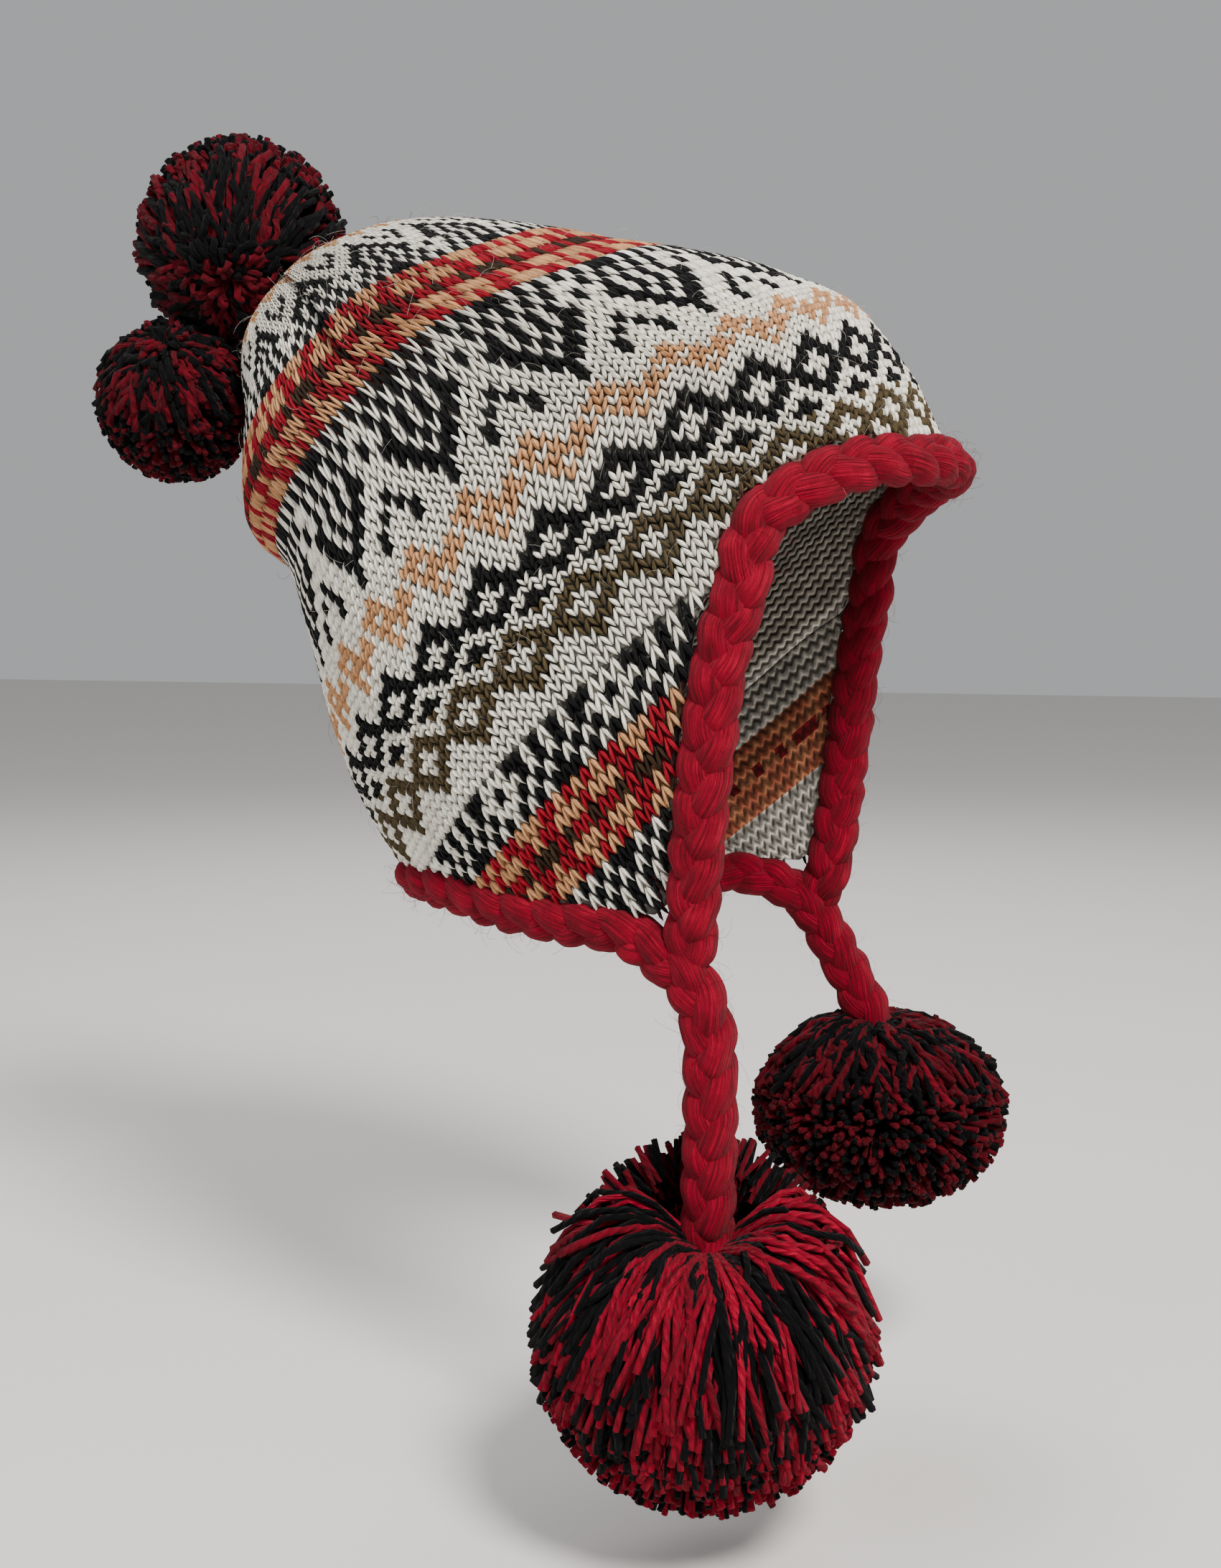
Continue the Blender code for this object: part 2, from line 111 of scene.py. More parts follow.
# Rows, and how high up the knit each lies: a share of KNIT_LENGTH on the crown, metres on a flap
ROW_PLACES = [
    (0.0, 0.0), (6.5, 0.0965), (14.0, 0.189), (18.0, 0.240), (24.5, 0.328), (28.5, 0.406),
    (36.0, 0.590), (39.0, 0.652), (49.0, 0.840), (55.0, 0.928), (60.0, 1.0),
]
FLAP_PLACES = [
    (0.0, 0.0022), (4.0, -0.0158), (9.0, -0.0415), (14.5, -0.0685),
]
ROWS = 60
FLAP_ROWS = 15
CROWN_STITCHES = 168
CHART_PHASE = 93.5          # degrees, where the middle of a chevron stands at the brim
FLAP_PHASE = 97.6
FLAP_STITCH = 2.19          # degrees
FLAP_TUCK = 1.0             # degrees that the flap reaches in under its edging
FRONT_RISE = 0.042          # how far the rows rise towards the forehead, share of KNIT_LENGTH
BACK_SINK = 0.012

# Shares of KNIT_LENGTH, and how many degrees the columns lean towards the forehead there
COLUMN_LEAN = [
    (0.0, 0.0), (0.20, 0.0), (0.33, 4.5), (0.41, 4.8), (0.59, 7.3), (1.0, 7.5),
]

# Routes of the two ties from the flap's tip to the middle of the pompom, metres from the crown's
# axis at the rim, as in the frame.
RIGHT_TIE_ROUTE = [
    (-0.0693, -0.0275, -0.0940),
    (-0.0713, -0.0385, -0.1005),
    (-0.0725, -0.0450, -0.1135),
    (-0.0730, -0.0464, -0.1320),
    (-0.0730, -0.0461, -0.1545),
    (-0.0730, -0.0456, -0.1780),
    (-0.0730, -0.0444, -0.2030),
]
LEFT_TIE_ROUTE = [
    (0.0700, -0.0235, -0.0920),
    (0.0730, -0.0330, -0.1010),
    (0.0747, -0.0405, -0.1150),
    (0.0742, -0.0480, -0.1275),
    (0.0732, -0.0555, -0.1420),
    (0.0730, -0.0588, -0.1675),
]

# The knitting chart. W white, B black, O olive, T tan, R red, D dark brown. Each motif is read
# from the peak side down, and repeats round the hat.
LATTICE = [
    "BWWWWW",
    "BBWWWB",
    "WBBWBB",
    "WWBBBW",
    "WBBWBB",
    "BBWWWB",
    "BWWBWW",
    "WWBBBW",
    "OWWOWW",
    "OOWWWO",
    "WOOWOO",
    "WWOOOW",
    "WOOWOO",
    "OOWWWO",
    "OWWWWW",
]
ZIGZAG = [
    "TWWWWW",
    "TTWWWT",
    "TWTWTW",
    "WTTTTT",
    "WWTWTW",
    "WWWTWW",
]
# Half of a chevron, from its middle column outwards; it is mirrored about both ends.
CHEVRON = [
    "BBWBWBW",
    "BWBWBWW",
    "WBWBWWB",
    "WBWBBWW",
    "BWBBWWW",
    "WBBWWWB",
    "BBWWWBW",
    "BWWWBWW",
    "BWWWBWW",
]
# Read from the middle of the dark square.
RED_BAND = [
    "TTRRTRTRTRRT",
    "TRRTTTRTTTRR",
    "DDRDRRDRRDRD",
    "TRRTTTRTTTRR",
    "TTRRTRTRTRRT",
]

# Colours, sRGB 0 to 255
YARNS = {
    "W": (250, 245, 232),
    "B": (9, 9, 11),
    "O": (78, 66, 44),
    "T": (198, 146, 103),
    "R": (144, 7, 31),
    "D": (50, 34, 20),
}
PLAIT_RED = (114, 1, 27)
POMPOM_RED = (120, 3, 30)
# painted shade: a darker copy of the pompoms' red, for the far and upper pompoms
SHADED_POMPOM_RED = (80, 2, 17)
POMPOM_BLACK = (3, 2, 4)


def linear(colour):
    share = np.asarray(colour, dtype=float) / 255.0
    return np.where(share <= 0.04045, share / 12.92, ((share + 0.055) / 1.055) ** 2.4)


def unit(vectors):
    return vectors / np.maximum(np.linalg.norm(vectors, axis=-1, keepdims=True), 1e-12)


def smooth_value(table, column, share):
    """A table column read as a smooth curve that never overshoots its rows."""
    places = np.array([row[0] for row in table])
    values = np.array([row[column] for row in table])
    share = np.clip(np.asarray(share, dtype=float), places[0], places[-1])
    slopes = np.diff(values) / np.diff(places)
    product = slopes[:-1] * slopes[1:]
    total = np.where(product > 0.0, slopes[:-1] + slopes[1:], 1.0)
    inner = np.where(product > 0.0, 2.0 * product / total, 0.0)
    tangents = np.concatenate([slopes[:1], inner, slopes[-1:]])
    k = np.clip(np.searchsorted(places, share, side="right") - 1, 0, len(slopes) - 1)
    span = places[k + 1] - places[k]
    s = (share - places[k]) / span
    return ((1 + 2 * s) * (1 - s) ** 2 * values[k] + s * (1 - s) ** 2 * span * tangents[k]
            + s * s * (3 - 2 * s) * values[k + 1] + s * s * (s - 1) * span * tangents[k + 1])


def ease(value):
    value = np.clip(value, 0.0, 1.0)
    return value * value * (3.0 - 2.0 * value)


def crown_point(around, reach):
    """Outside of the crown, from its axis at the rim. around is radians from the forehead."""
    rise, back, front, width = (smooth_value(CROWN_SECTIONS, column, reach) for column in range(1, 5))
    top_fade = 1.0 - np.clip((reach - 0.6) / 0.4, 0.0, 1.0)
    sideways = -width * RIM_WIDTH / 2 * np.sin(around)
    forward = ((front + back) / 2 + (front - back) / 2 * np.cos(around)) * RIM_LENGTH
    up = rise * CROWN_HEIGHT - FOREHEAD_DIP * top_fade * ease((np.cos(around) - 0.15) / 0.75)
    off = (np.degrees(around) - VALLEY_AT) / VALLEY_SPREAD
    swell = np.clip((reach - 0.5) / 0.12, 0.0, 1.0) * np.clip((1.0 - reach) / 0.2, 0.0, 1.0)
    valley = VALLEY_DEPTH * np.exp(-off * off) * swell
    sideways = sideways + valley * np.sin(around)
    forward = forward - valley * np.cos(around)
    return (sideways[..., None] * X_AXIS + forward[..., None] * RIM_FORWARD
            + up[..., None] * CROWN_AXIS)


def fabric_point(around, climb):
    """Outside of the knit; climb is metres up the column, less than 0 on a flap."""
    around, climb = np.broadcast_arrays(np.asarray(around, float), np.asarray(climb, float))
    lean = math.radians(FLAP_LEAN)
    side = np.where(np.sin(around) >= 0.0, 1.0, -1.0)
    down = -CROWN_AXIS * math.cos(lean) + side[..., None] * X_AXIS * math.sin(lean)
    point = crown_point(around, np.maximum(climb, 0.0) / KNIT_LENGTH)
    return point - down * np.minimum(climb, 0.0)[..., None]


def fabric_normal(around, climb):
    step_round, step_up = 0.004, 0.0008
    along = fabric_point(around + step_round, climb) - fabric_point(around - step_round, climb)
    upward = fabric_point(around, climb + step_up) - fabric_point(around, climb - step_up)
    return unit(np.cross(upward, along))


SEAT = crown_point(np.array(0.0), np.array(0.5)) \
    - fabric_normal(np.array(0.0), np.array(0.5 * KNIT_LENGTH)) * KNIT_WALL


def folded(around):
    """Degrees from the forehead, on either side."""
    return np.degrees(np.abs(np.remainder(np.asarray(around) + math.pi, 2 * math.pi) - math.pi))


def edge_climb(around):
    return smooth_value(CROWN_EDGE, 1, folded(around)) * EDGE_LIFT


def row_shift(around, share):
    """How far the rows stand off their even height, share of KNIT_LENGTH."""
    off = folded(around)
    front = FRONT_RISE * ease((80.0 - off) / 30.0) * np.clip((0.55 - share) / 0.35, 0.0, 1.0)
    back = BACK_SINK * ease((off - 105.0) / 30.0) * np.clip((0.17 - share) / 0.08, 0.0, 1.0)
    return front - back


def row_climb(row, around):
    share = smooth_value(ROW_PLACES, 1, row)
    return (share + row_shift(around, share)) * KNIT_LENGTH


def column_angle(column):
    return math.radians(CHART_PHASE) + np.asarray(column) * 2 * math.pi / CROWN_STITCHES


def crown_spot(column, row):
    """Where a place of the chart lies on the crown: around and climb."""
    around = column_angle(column)
    climb = row_climb(row, around) + np.minimum(row, 0.0) * 0.003
    return around - np.radians(smooth_value(COLUMN_LEAN, 1, climb / KNIT_LENGTH)), climb


def flap_spot(column, row, side):
    """Where a place of the flap's chart lies; rows are counted down."""
    climb = smooth_value(FLAP_PLACES, 1, row) + np.minimum(row, 0.0) * -0.0045
    depth = -climb * 1000.0
    degrees = FLAP_PHASE + 0.054 * depth + column * (FLAP_STITCH - 0.0074 * depth)
    around = side * np.radians(degrees)
    shift = row_shift(around, np.zeros_like(climb)) * KNIT_LENGTH
    return around, climb + shift * np.clip(1.0 + climb / 0.02, 0.0, 1.0)


def crown_stitch(row, column):
    """Yarn of a stitch on the crown, rows counted from the brim."""
    half = column % 12
    half = min(half, 12 - half)
    if 3 <= row <= 17:
        return LATTICE[17 - row][column % 6]
    if 18 <= row <= 23:
        return ZIGZAG[23 - row][column % 6]
    if 25 <= row <= 33:
        return CHEVRON[33 - row][half]
    if 34 <= row <= 38:
        return RED_BAND[row - 34][(column + 6) % 12]
    if 39 <= row <= 47:
        return CHEVRON[row - 39][half]
    if 49 <= row <= 54:
        return ZIGZAG[row - 49][column % 6]
    return "W"


def flap_stitch(row, column):
    """Yarn of a stitch on a flap, rows counted down from the crown."""
    half = column % 12
    half = min(half, 12 - half)
    if row < 4:
        return CHEVRON[3 - row][half]
    if row < 9:
        return RED_BAND[row - 4][(column + 6) % 12]
    return CHEVRON[row - 9][half]


# Meshes from arrays

YARN_UV_PER_METRE = 220.0   # along a strand of a pompom or a hair
PLAIT_UV_PER_METRE = 260.0


def build_mesh(name, points, quads, colours, uvs, material):
    """One mesh object; points and uvs have a row for each vertex, colours for each vertex or face.
    A triangle is a quad whose last corner is -1."""
    mesh = bpy.data.meshes.new(name)
    quads = np.asarray(quads, dtype=np.int32)
    mesh.vertices.add(len(points))
    mesh.vertices.foreach_set("co", np.asarray(points, dtype=np.float32).ravel())
    sizes = np.where(quads[:, 3] < 0, 3, 4).astype(np.int32)
    starts = np.concatenate([[0], np.cumsum(sizes)[:-1]]).astype(np.int32)
    corners = quads[quads >= 0]
    mesh.loops.add(len(corners))
    mesh.loops.foreach_set("vertex_index", corners)
    mesh.polygons.add(len(quads))
    mesh.polygons.foreach_set("loop_start", starts)
    mesh.update(calc_edges=True)
    mesh.validate()
    by_face = len(colours) != len(points)
    if by_face:
        colours = np.repeat(colours, sizes, axis=0)
    layer = mesh.color_attributes.new("yarn", "FLOAT_COLOR", "CORNER" if by_face else "POINT")
    rgba = np.ones((len(colours), 4), dtype=np.float32)
    rgba[:, :3] = colours
    layer.data.foreach_set("color", rgba.ravel())
    loop_vertices = np.empty(len(mesh.loops), dtype=np.int32)
    mesh.loops.foreach_get("vertex_index", loop_vertices)
    uv = mesh.uv_layers.new(name="strand")
    uv.data.foreach_set("uv", np.asarray(uvs, dtype=np.float32)[loop_vertices].ravel())
    mesh.shade_smooth()
    mesh.materials.append(material)
    thing = bpy.data.objects.new(name, mesh)
    bpy.context.scene.collection.objects.link(thing)
    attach(thing, "root")
    return thing


def grid_quads(count, rows, columns, closed=False):
    """Quads of many equal grids, rows by columns of vertices each."""
    across = columns if closed else columns - 1
    r, c = np.meshgrid(np.arange(rows - 1), np.arange(across), indexing="ij")
    r, c = r.ravel(), c.ravel()
    n = (c + 1) % columns
    low, high = r * columns, (r + 1) * columns
    one = np.stack([low + c, low + n, high + n, high + c], axis=1)
    return (one[None] + (np.arange(count) * rows * columns)[:, None, None]).reshape(-1, 4)


def joined(parts):
    """Parts made of points, quads, colours and uvs, as one."""
    starts = np.cumsum([0] + [len(part[0]) for part in parts])
    points, quads, colours, uvs = zip(*parts)
    quads = [np.where(part < 0, -1, part + start) for part, start in zip(quads, starts)]
    return tuple(np.concatenate(rows) for rows in (points, quads, colours, uvs))


def square_to(vectors, tangents):
    """The unit vectors nearest to vectors that stand square to the tangents."""
    return unit(vectors - (vectors * tangents).sum(-1, keepdims=True) * tangents)


def run_along(lines):
    """Length along one line or many, at each of the points."""
    steps = np.linalg.norm(np.diff(lines, axis=-2), axis=-1)
    return np.concatenate([np.zeros_like(steps[..., :1]), np.cumsum(steps, axis=-1)], axis=-1)


def tubes(lines, radii, sides, hint, colours, capped=True, start_phase=0.0):
    """Round yarns along many lines: points, quads, colours and uvs."""
    count, length, _ = lines.shape
    tangents = unit(np.gradient(lines, axis=-2))
    first = square_to(hint, tangents)
    second = np.cross(tangents, first)
    angle = 2 * math.pi * np.arange(sides) / sides
    ring = np.cos(angle)[:, None] * first[..., None, :] + np.sin(angle)[:, None] * second[..., None, :]
    points = lines[..., None, :] + ring * radii[..., None, None]
    quads = grid_quads(count, length, sides, closed=True)
    run = run_along(lines) * YARN_UV_PER_METRE
    u = np.broadcast_to((run + start_phase)[..., None], (count, length, sides))
    v = np.broadcast_to(np.arange(sides) / sides, (count, length, sides))
    points = points.reshape(count, -1, 3)
    uvs = np.stack([u, v], axis=-1).reshape(count, -1, 2)
    shades = np.repeat(colours[:, None, :], length * sides, axis=1)
    if capped:
        total = length * sides
        quads = quads + (np.arange(len(quads)) // (len(quads) // count))[:, None]
        tip = lines[:, -1:] + (lines[:, -1:] - lines[:, -2:-1]) * 0.02
        points = np.concatenate([points, tip], axis=1)
        uvs = np.concatenate([uvs, uvs[:, -1:]], axis=1)
        shades = np.concatenate([shades, shades[:, -1:]], axis=1)
        base = np.arange(count)[:, None] * (total + 1)
        last = total - sides + np.arange(sides)
        following = total - sides + (np.arange(sides) + 1) % sides
        cap = np.stack([base + last, base + following, np.broadcast_to(base + total, (count, sides)),
                        np.full((count, sides), -1)], axis=-1).reshape(-1, 4)
        quads = np.concatenate([quads, cap])
    return points.reshape(-1, 3), quads, shades.reshape(-1, 3), uvs.reshape(-1, 2)


# Materials

PATCH_SCALE = 160.0         # noises over the wool, per metre
FIBRE_SCALE = 2600.0
FIBRE_RELIEF = 0.0003
PURL_RELIEF = 0.0011
PURL_BOW = 0.16             # how far a purl arc bows, rows


def add_node(tree, kind, inputs, output, operation=None):
    """A node with its inputs set to numbers or linked to other nodes; gives one of its outputs."""
    node = tree.nodes.new("ShaderNode" + kind)
    if operation:
        node.operation = operation
    for key, value in inputs.items():
        if isinstance(value, float):
            node.inputs[key].default_value = value
        else:
            tree.links.new(value, node.inputs[key])
    return node.outputs[output]


def reckoned(tree, operation, *values):
    return add_node(tree, "Math", dict(enumerate(values)), "Value", operation)


def ranged(tree, value, low, high, to_low, to_high):
    return add_node(tree, "MapRange", {"Value": value, "From Min": low, "From Max": high,
                                       "To Min": to_low, "To Max": to_high}, "Result")


def noise(tree, vector, scale, detail):
    return add_node(tree, "TexNoise", {"Vector": vector, "Scale": scale, "Detail": detail}, "Fac")


def shaded(tree, colour, level):
    return add_node(tree, "VectorMath", {0: colour, "Scale": level}, "Vector", "SCALE")


def bumped(tree, height, strength, distance, normal):
    inputs = {"Height": height, "Strength": strength, "Distance": distance}
    return add_node(tree, "Bump", {**inputs, **normal}, "Normal")


def strand_place(tree):
    """Where a point lies along and across its strand."""
    strand = tree.nodes.new("ShaderNodeUVMap")
    strand.uv_map = "strand"
    split = tree.nodes.new("ShaderNodeSeparateXYZ")
    tree.links.new(strand.outputs["UV"], split.inputs["Vector"])
    return split.outputs["X"], split.outputs["Y"]


def yarn_material(name, lines=2.0, twist=1.0, streaks=(1.0, 6.0), relief=0.0004, sheen=0.06, contrast=0.3,
                  plied=1.0, mottle=0.1):
    """Wool: the yarn's colour in streaks along the strand, with twisted plies and loose fibres as relief.
    The streaks are partly uneven wool and partly painted shade and highlight: streaks and plies are painted
    darker where the relief dips and lighter where it rises. lines is how many plies lie round a strand,
    streaks the noise along and across it, plied how plainly the plies show, mottle how uneven the wool is."""
    material = bpy.data.materials.new(name)
    material.use_nodes = True
    tree = material.node_tree
    shader = tree.nodes["Principled BSDF"]
    for socket, value in (("Roughness", 0.92), ("Sheen Weight", sheen), ("Sheen Roughness", 0.5),
                          ("Specular IOR Level", 0.12)):
        shader.inputs[socket].default_value = value

    along, across = strand_place(tree)
    turned = reckoned(tree, "ADD", reckoned(tree, "MULTIPLY", across, lines),
                      reckoned(tree, "MULTIPLY", along, twist))
    ply = reckoned(tree, "SINE", reckoned(tree, "MULTIPLY", turned, 2 * math.pi))
    stretched = add_node(tree, "CombineXYZ", {
        "X": reckoned(tree, "MULTIPLY", along, streaks[0]),
        "Y": reckoned(tree, "MULTIPLY", turned, streaks[1] / lines)}, "Vector")
    streak = noise(tree, stretched, 1.0, 3.0)
    place = tree.nodes.new("ShaderNodeTexCoord").outputs["Object"]
    patch = noise(tree, place, PATCH_SCALE, 2.0)
    fibre = noise(tree, place, FIBRE_SCALE, 3.0)

    depth = contrast * plied
    # painted shade and highlight: streaks and plies darker where the relief dips and lighter where it
    # rises; the streaks are also uneven wool
    level = ranged(tree, streak, 0.3, 0.7, 1.0 - contrast, 1.0 + contrast * 0.8)
    for factor in (ranged(tree, ply, -1.0, 1.0, 1.0 - depth * 0.5, 1.0 + depth * 0.3),
                   ranged(tree, patch, 0.3, 0.7, 1.0 - mottle, 1.0 + mottle),
                   ranged(tree, fibre, 0.3, 0.7, 0.85, 1.15)):
        level = reckoned(tree, "MULTIPLY", level, factor)
    colour = tree.nodes.new("ShaderNodeAttribute")
    colour.attribute_name = "yarn"
    tree.links.new(shaded(tree, colour.outputs["Color"], level), shader.inputs["Base Color"])

    height = reckoned(tree, "ADD", reckoned(tree, "MULTIPLY", streak, 1.6),
                      reckoned(tree, "MULTIPLY", ply, plied * 0.5))
    normal = bumped(tree, height, 0.8, relief, {})
    normal = bumped(tree, fibre, 0.5, FIBRE_RELIEF, {"Normal": normal})
    tree.links.new(normal, shader.inputs["Normal"])
    return material


def purl_material(name):
    """The knit from behind: rows of small arcs, painted darker in the grooves between them as shade. The uv
    counts stitches and rows.
    """
    material = yarn_material(name, lines=1.0, twist=0.0, streaks=(2.0, 3.0), contrast=0.18, plied=0.0)
    tree = material.node_tree
    shader = tree.nodes["Principled BSDF"]
    column, row = strand_place(tree)
    bow = reckoned(tree, "COSINE", reckoned(tree, "MULTIPLY", column, 2 * math.pi))
    bow = reckoned(tree, "MULTIPLY", bow, PURL_BOW * 2 * math.pi)
    arcs = reckoned(tree, "COSINE", reckoned(tree, "MULTIPLY_ADD", row, 2 * math.pi, bow))
    normal, shade = (shader.inputs[socket].links[0].from_socket for socket in ("Normal", "Base Color"))
    tree.links.new(bumped(tree, arcs, 1.0, PURL_RELIEF, {"Normal": normal}), shader.inputs["Normal"])
    # painted shade and highlight: darker in the grooves between the arcs, a little lighter on their tops
    level = ranged(tree, arcs, -1.0, 1.0, 0.35, 1.1)
    tree.links.new(shaded(tree, shade, level), shader.inputs["Base Color"])
    return material


# Knit

LEG_ALONG = np.array([0.0, 0.22, 0.5, 0.78, 1.0])
LEG_ACROSS = np.array([-1.0, -0.42, 0.42, 1.0])
LEG_WIDTHS = np.array([0.16, 0.80, 1.0, 0.78, 0.14])
LEG_RISES = np.array([0.15, 0.80, 1.0, 0.82, 0.10])
LEG_LENGTH = 1.40           # rows that one leg of a stitch spans
LEG_START = -0.50           # rows below the stitch's own row
LEG_FOOT = 0.07             # columns off the middle, at the point of the V
LEG_TOP = 0.45
LEG_HALF_WIDTH = 0.175      # columns
LEG_HEIGHT = 0.0014
LEG_SINK = 0.0006
LEG_PAINTED_SHADE = 0.55            # painted shade: how much darker a leg's edges are
GAUGE = {"T": 1.14, "B": 1.08, "R": 1.04, "O": 1.04}    # how much thicker a yarn is than the white
CROWN_COLUMN = 2 * math.pi * 0.105 / CROWN_STITCHES
CROWN_ROW = 0.0033
FLAP_COLUMN = 0.0039
FLAP_ROW = 0.0048
FLAP_JOIN = 0.0018          # where the crown's lowest row starts above a flap
CHEVRON_ROW = 30            # a row of the crown that carries its yarns as the flaps do
WALL_DEPTHS = (0.0009, 0.0026)      # the wall's two sides, below the knit's surface
GAP_PAINTED_SHADE = 0.22            # painted shade: how dark the wall is between the stitches


def legs(stitches, keys, place, column_width, row_height):
    """Both legs of many stitches. stitches are (column, row) pairs, keys their yarns; place turns
    columns and rows into points and normals."""
    total = 2 * len(stitches)
    grid = (total, len(LEG_ALONG), len(LEG_ACROSS))
    across0, row0 = np.repeat(stitches, 2, axis=0).T
    side = np.tile([-1.0, 1.0], len(stitches))
    left, _ = place(stitches[:, 0] - 0.5, stitches[:, 1])
    right, _ = place(stitches[:, 0] + 0.5, stitches[:, 1])
    room = np.clip(np.linalg.norm(right - left, axis=1) / column_width, 0.3, 1.1)
    gauge = np.repeat([GAUGE.get(key, 1.0) for key in keys], 2)
    plump = gauge * (1.0 + random.normal(0.0, 0.06, total))
    wander = random.normal(0.0, 0.025, (total, 2))
    foot = LEG_FOOT + (LEG_TOP - LEG_FOOT) * ease(LEG_ALONG)
    middle_across = across0[:, None] + side[:, None] * foot + wander[:, :1]
    middle_row = row0[:, None] + LEG_START + LEG_LENGTH * LEG_ALONG + wander[:, 1:]
    slope = np.gradient(foot, LEG_ALONG) * column_width
    rise = LEG_LENGTH * row_height * np.ones_like(slope)
    long = np.hypot(slope, rise)
    square_across, square_row = rise / long, -slope / long
    width = LEG_HALF_WIDTH * column_width * LEG_WIDTHS * plump[:, None]
    off = width[..., None] * LEG_ACROSS
    across = middle_across[..., None] + off * square_across[None, :, None] / column_width
    row = middle_row[..., None] + off * (side[:, None, None] * square_row[None, :, None]) / row_height
    crest = np.sqrt(np.maximum(1.0 - LEG_ACROSS ** 2, 0.0))
    height = LEG_HEIGHT * (np.repeat(room, 2) * plump)[:, None, None] * LEG_RISES[None, :, None] * crest \
        - LEG_SINK
    points, normals = place(across, row)
    points = points + normals * height[..., None]
    colours = np.repeat([linear(YARNS[key]) for key in keys], 2, axis=0)
    colours = np.clip(colours * (1.0 + random.normal(0.0, 0.06, (total, 1))), 0.0, 1.0)
    # painted shade: each leg darker where it rounds down into the knit, at its edges and ends
    dark = 1.0 - LEG_PAINTED_SHADE * (1.0 - LEG_RISES[:, None] * np.maximum(crest, 0.35))
    colours = colours[:, None, None] * dark[..., None]
    u = np.broadcast_to(LEG_ALONG[:, None] * 1.6, grid) + random.random((total, 1, 1))
    v = np.broadcast_to(LEG_ACROSS * 0.25 + 0.5, grid) * side[:, None, None]
    uvs = np.stack([u, v], axis=-1)
    return points.reshape(-1, 3), grid_quads(*grid), colours.reshape(-1, 3), uvs.reshape(-1, 2)


def on_fabric(around, climb):
    """Points and normals of the knit, from the part's origin."""
    return fabric_point(around, climb) - SEAT, fabric_normal(around, climb)


def crown_place(column, row):
    return on_fabric(*crown_spot(column, np.minimum(row, ROWS)))


def build_crown_knit(material):
    bands = [("knit_lower", 0, 20), ("knit_middle", 20, 40), ("knit_upper", 40, ROWS)]
    pieces = []
    for name, first, last in bands:
        stitches, keys = [], []
        columns = np.arange(CROWN_STITCHES)
        for row in range(first, last):
            around, low = crown_spot(columns, row - 0.35)
            _, high = crown_spot(columns, row + 0.6)
            on_flap = (folded(around) > FLAP_FRONT) & (folded(around) < FLAP_BACK)
            bottom = np.where(on_flap, FLAP_JOIN + row_shift(around, 0.0) * KNIT_LENGTH, -1.0)
            for column in columns[(high >= edge_climb(around)) & (low >= bottom)]:
                stitches.append((column, row))
                keys.append(crown_stitch(row, int(column)))
        made = legs(np.array(stitches, float), keys, crown_place, CROWN_COLUMN, CROWN_ROW)
        pieces.append(build_mesh(name, *made, material))
    return pieces


def flap_edges(depth):
    """Degrees of the flap's front and back edge at a depth, share of FLAP_DEPTH."""
    depth = np.clip(depth, 0.0, 1.0)
    return FLAP_FRONT + (FLAP_TIP - FLAP_FRONT) * depth, FLAP_BACK + (FLAP_TIP - FLAP_BACK) * depth


def build_flap_knit(name, side, material):
    stitches, keys = [], []
    columns = np.arange(-20, 30)
    for row in range(FLAP_ROWS):
        around, climb = flap_spot(columns, row + 0.5, side)
        front, back = flap_edges(-climb / FLAP_DEPTH)
        inside = (folded(around) > front - 0.3) & (folded(around) < back - 0.2) \
            & (climb > -0.975 * FLAP_DEPTH)
        for column in columns[inside]:
            stitches.append((column, row + 0.5))
            keys.append(flap_stitch(row, int(column)))

    def place(column, row):
        return on_fabric(*flap_spot(column, row, side))

    made = legs(np.array(stitches), keys, place, FLAP_COLUMN, FLAP_ROW)
    return build_mesh(name, *made, material)


def inside_yarn(key, row):
    """The colour behind a stitch: mostly the other yarn of its row, carried along."""
    partner = {"W": "B", "B": "W", "O": "W", "T": "R", "R": "T", "D": "R"}
    own = linear(YARNS[key])
    if row in (0, 1, 2, 24, 48) or row > 54:
        return own
    if 18 <= row <= 23 or 49 <= row <= 54:
        return own * 0.5 + linear(YARNS["T" if key == "W" else "W"]) * 0.5
    other = "O" if key == "W" and 3 <= row <= 9 else partner[key]
    return own * 0.4 + linear(YARNS[other]) * 0.6


def knit_wall(name, around, climb, keys, chart_rows, uvs, material, closed):
    """The wall that the stitches lie on, over a grid of places: painted dark outside as the shade between
    the stitches, purl and floats inside. keys and chart_rows hold the stitch of each face."""
    points, normals = on_fabric(around, climb)
    grids = [points - normals * depth for depth in WALL_DEPTHS]
    # painted shade: the outer side is the stitch's own yarn darkened, as the shade between the stitches
    colours = [np.array([linear(YARNS[key]) for key in keys]) * GAP_PAINTED_SHADE,
               np.array([inside_yarn(key, row) for key, row in zip(keys, chart_rows)])]
    rows, columns = around.shape
    outer = grid_quads(1, rows, columns, closed)
    offset = rows * columns
    inner = outer[:, ::-1] + offset
    first = np.arange(columns if closed else columns - 1)
    following = (first + 1) % columns
    rim = np.stack([following, first, first + offset, following + offset], axis=1)
    top = (rows - 1) * columns
    end = np.stack([first + top, following + top, following + top + offset, first + top + offset], axis=1)
    quads = [outer, inner, rim, end]
    shades = [colours[0], colours[1], colours[1][:len(first)], colours[1][-len(first):]]
    if not closed:
        r = np.arange(rows - 1) * columns
        quads.append(np.stack([r, r + columns, r + columns + offset, r + offset], axis=1))
        r = r + columns - 1
        quads.append(np.stack([r + columns, r, r + offset, r + columns + offset], axis=1))
        shades += [colours[1][:rows - 1], colours[1][:rows - 1]]
    points = np.concatenate([grid.reshape(-1, 3) for grid in grids])
    return build_mesh(name, points, np.concatenate(quads), np.concatenate(shades),
                      np.concatenate([uvs, uvs]), material)


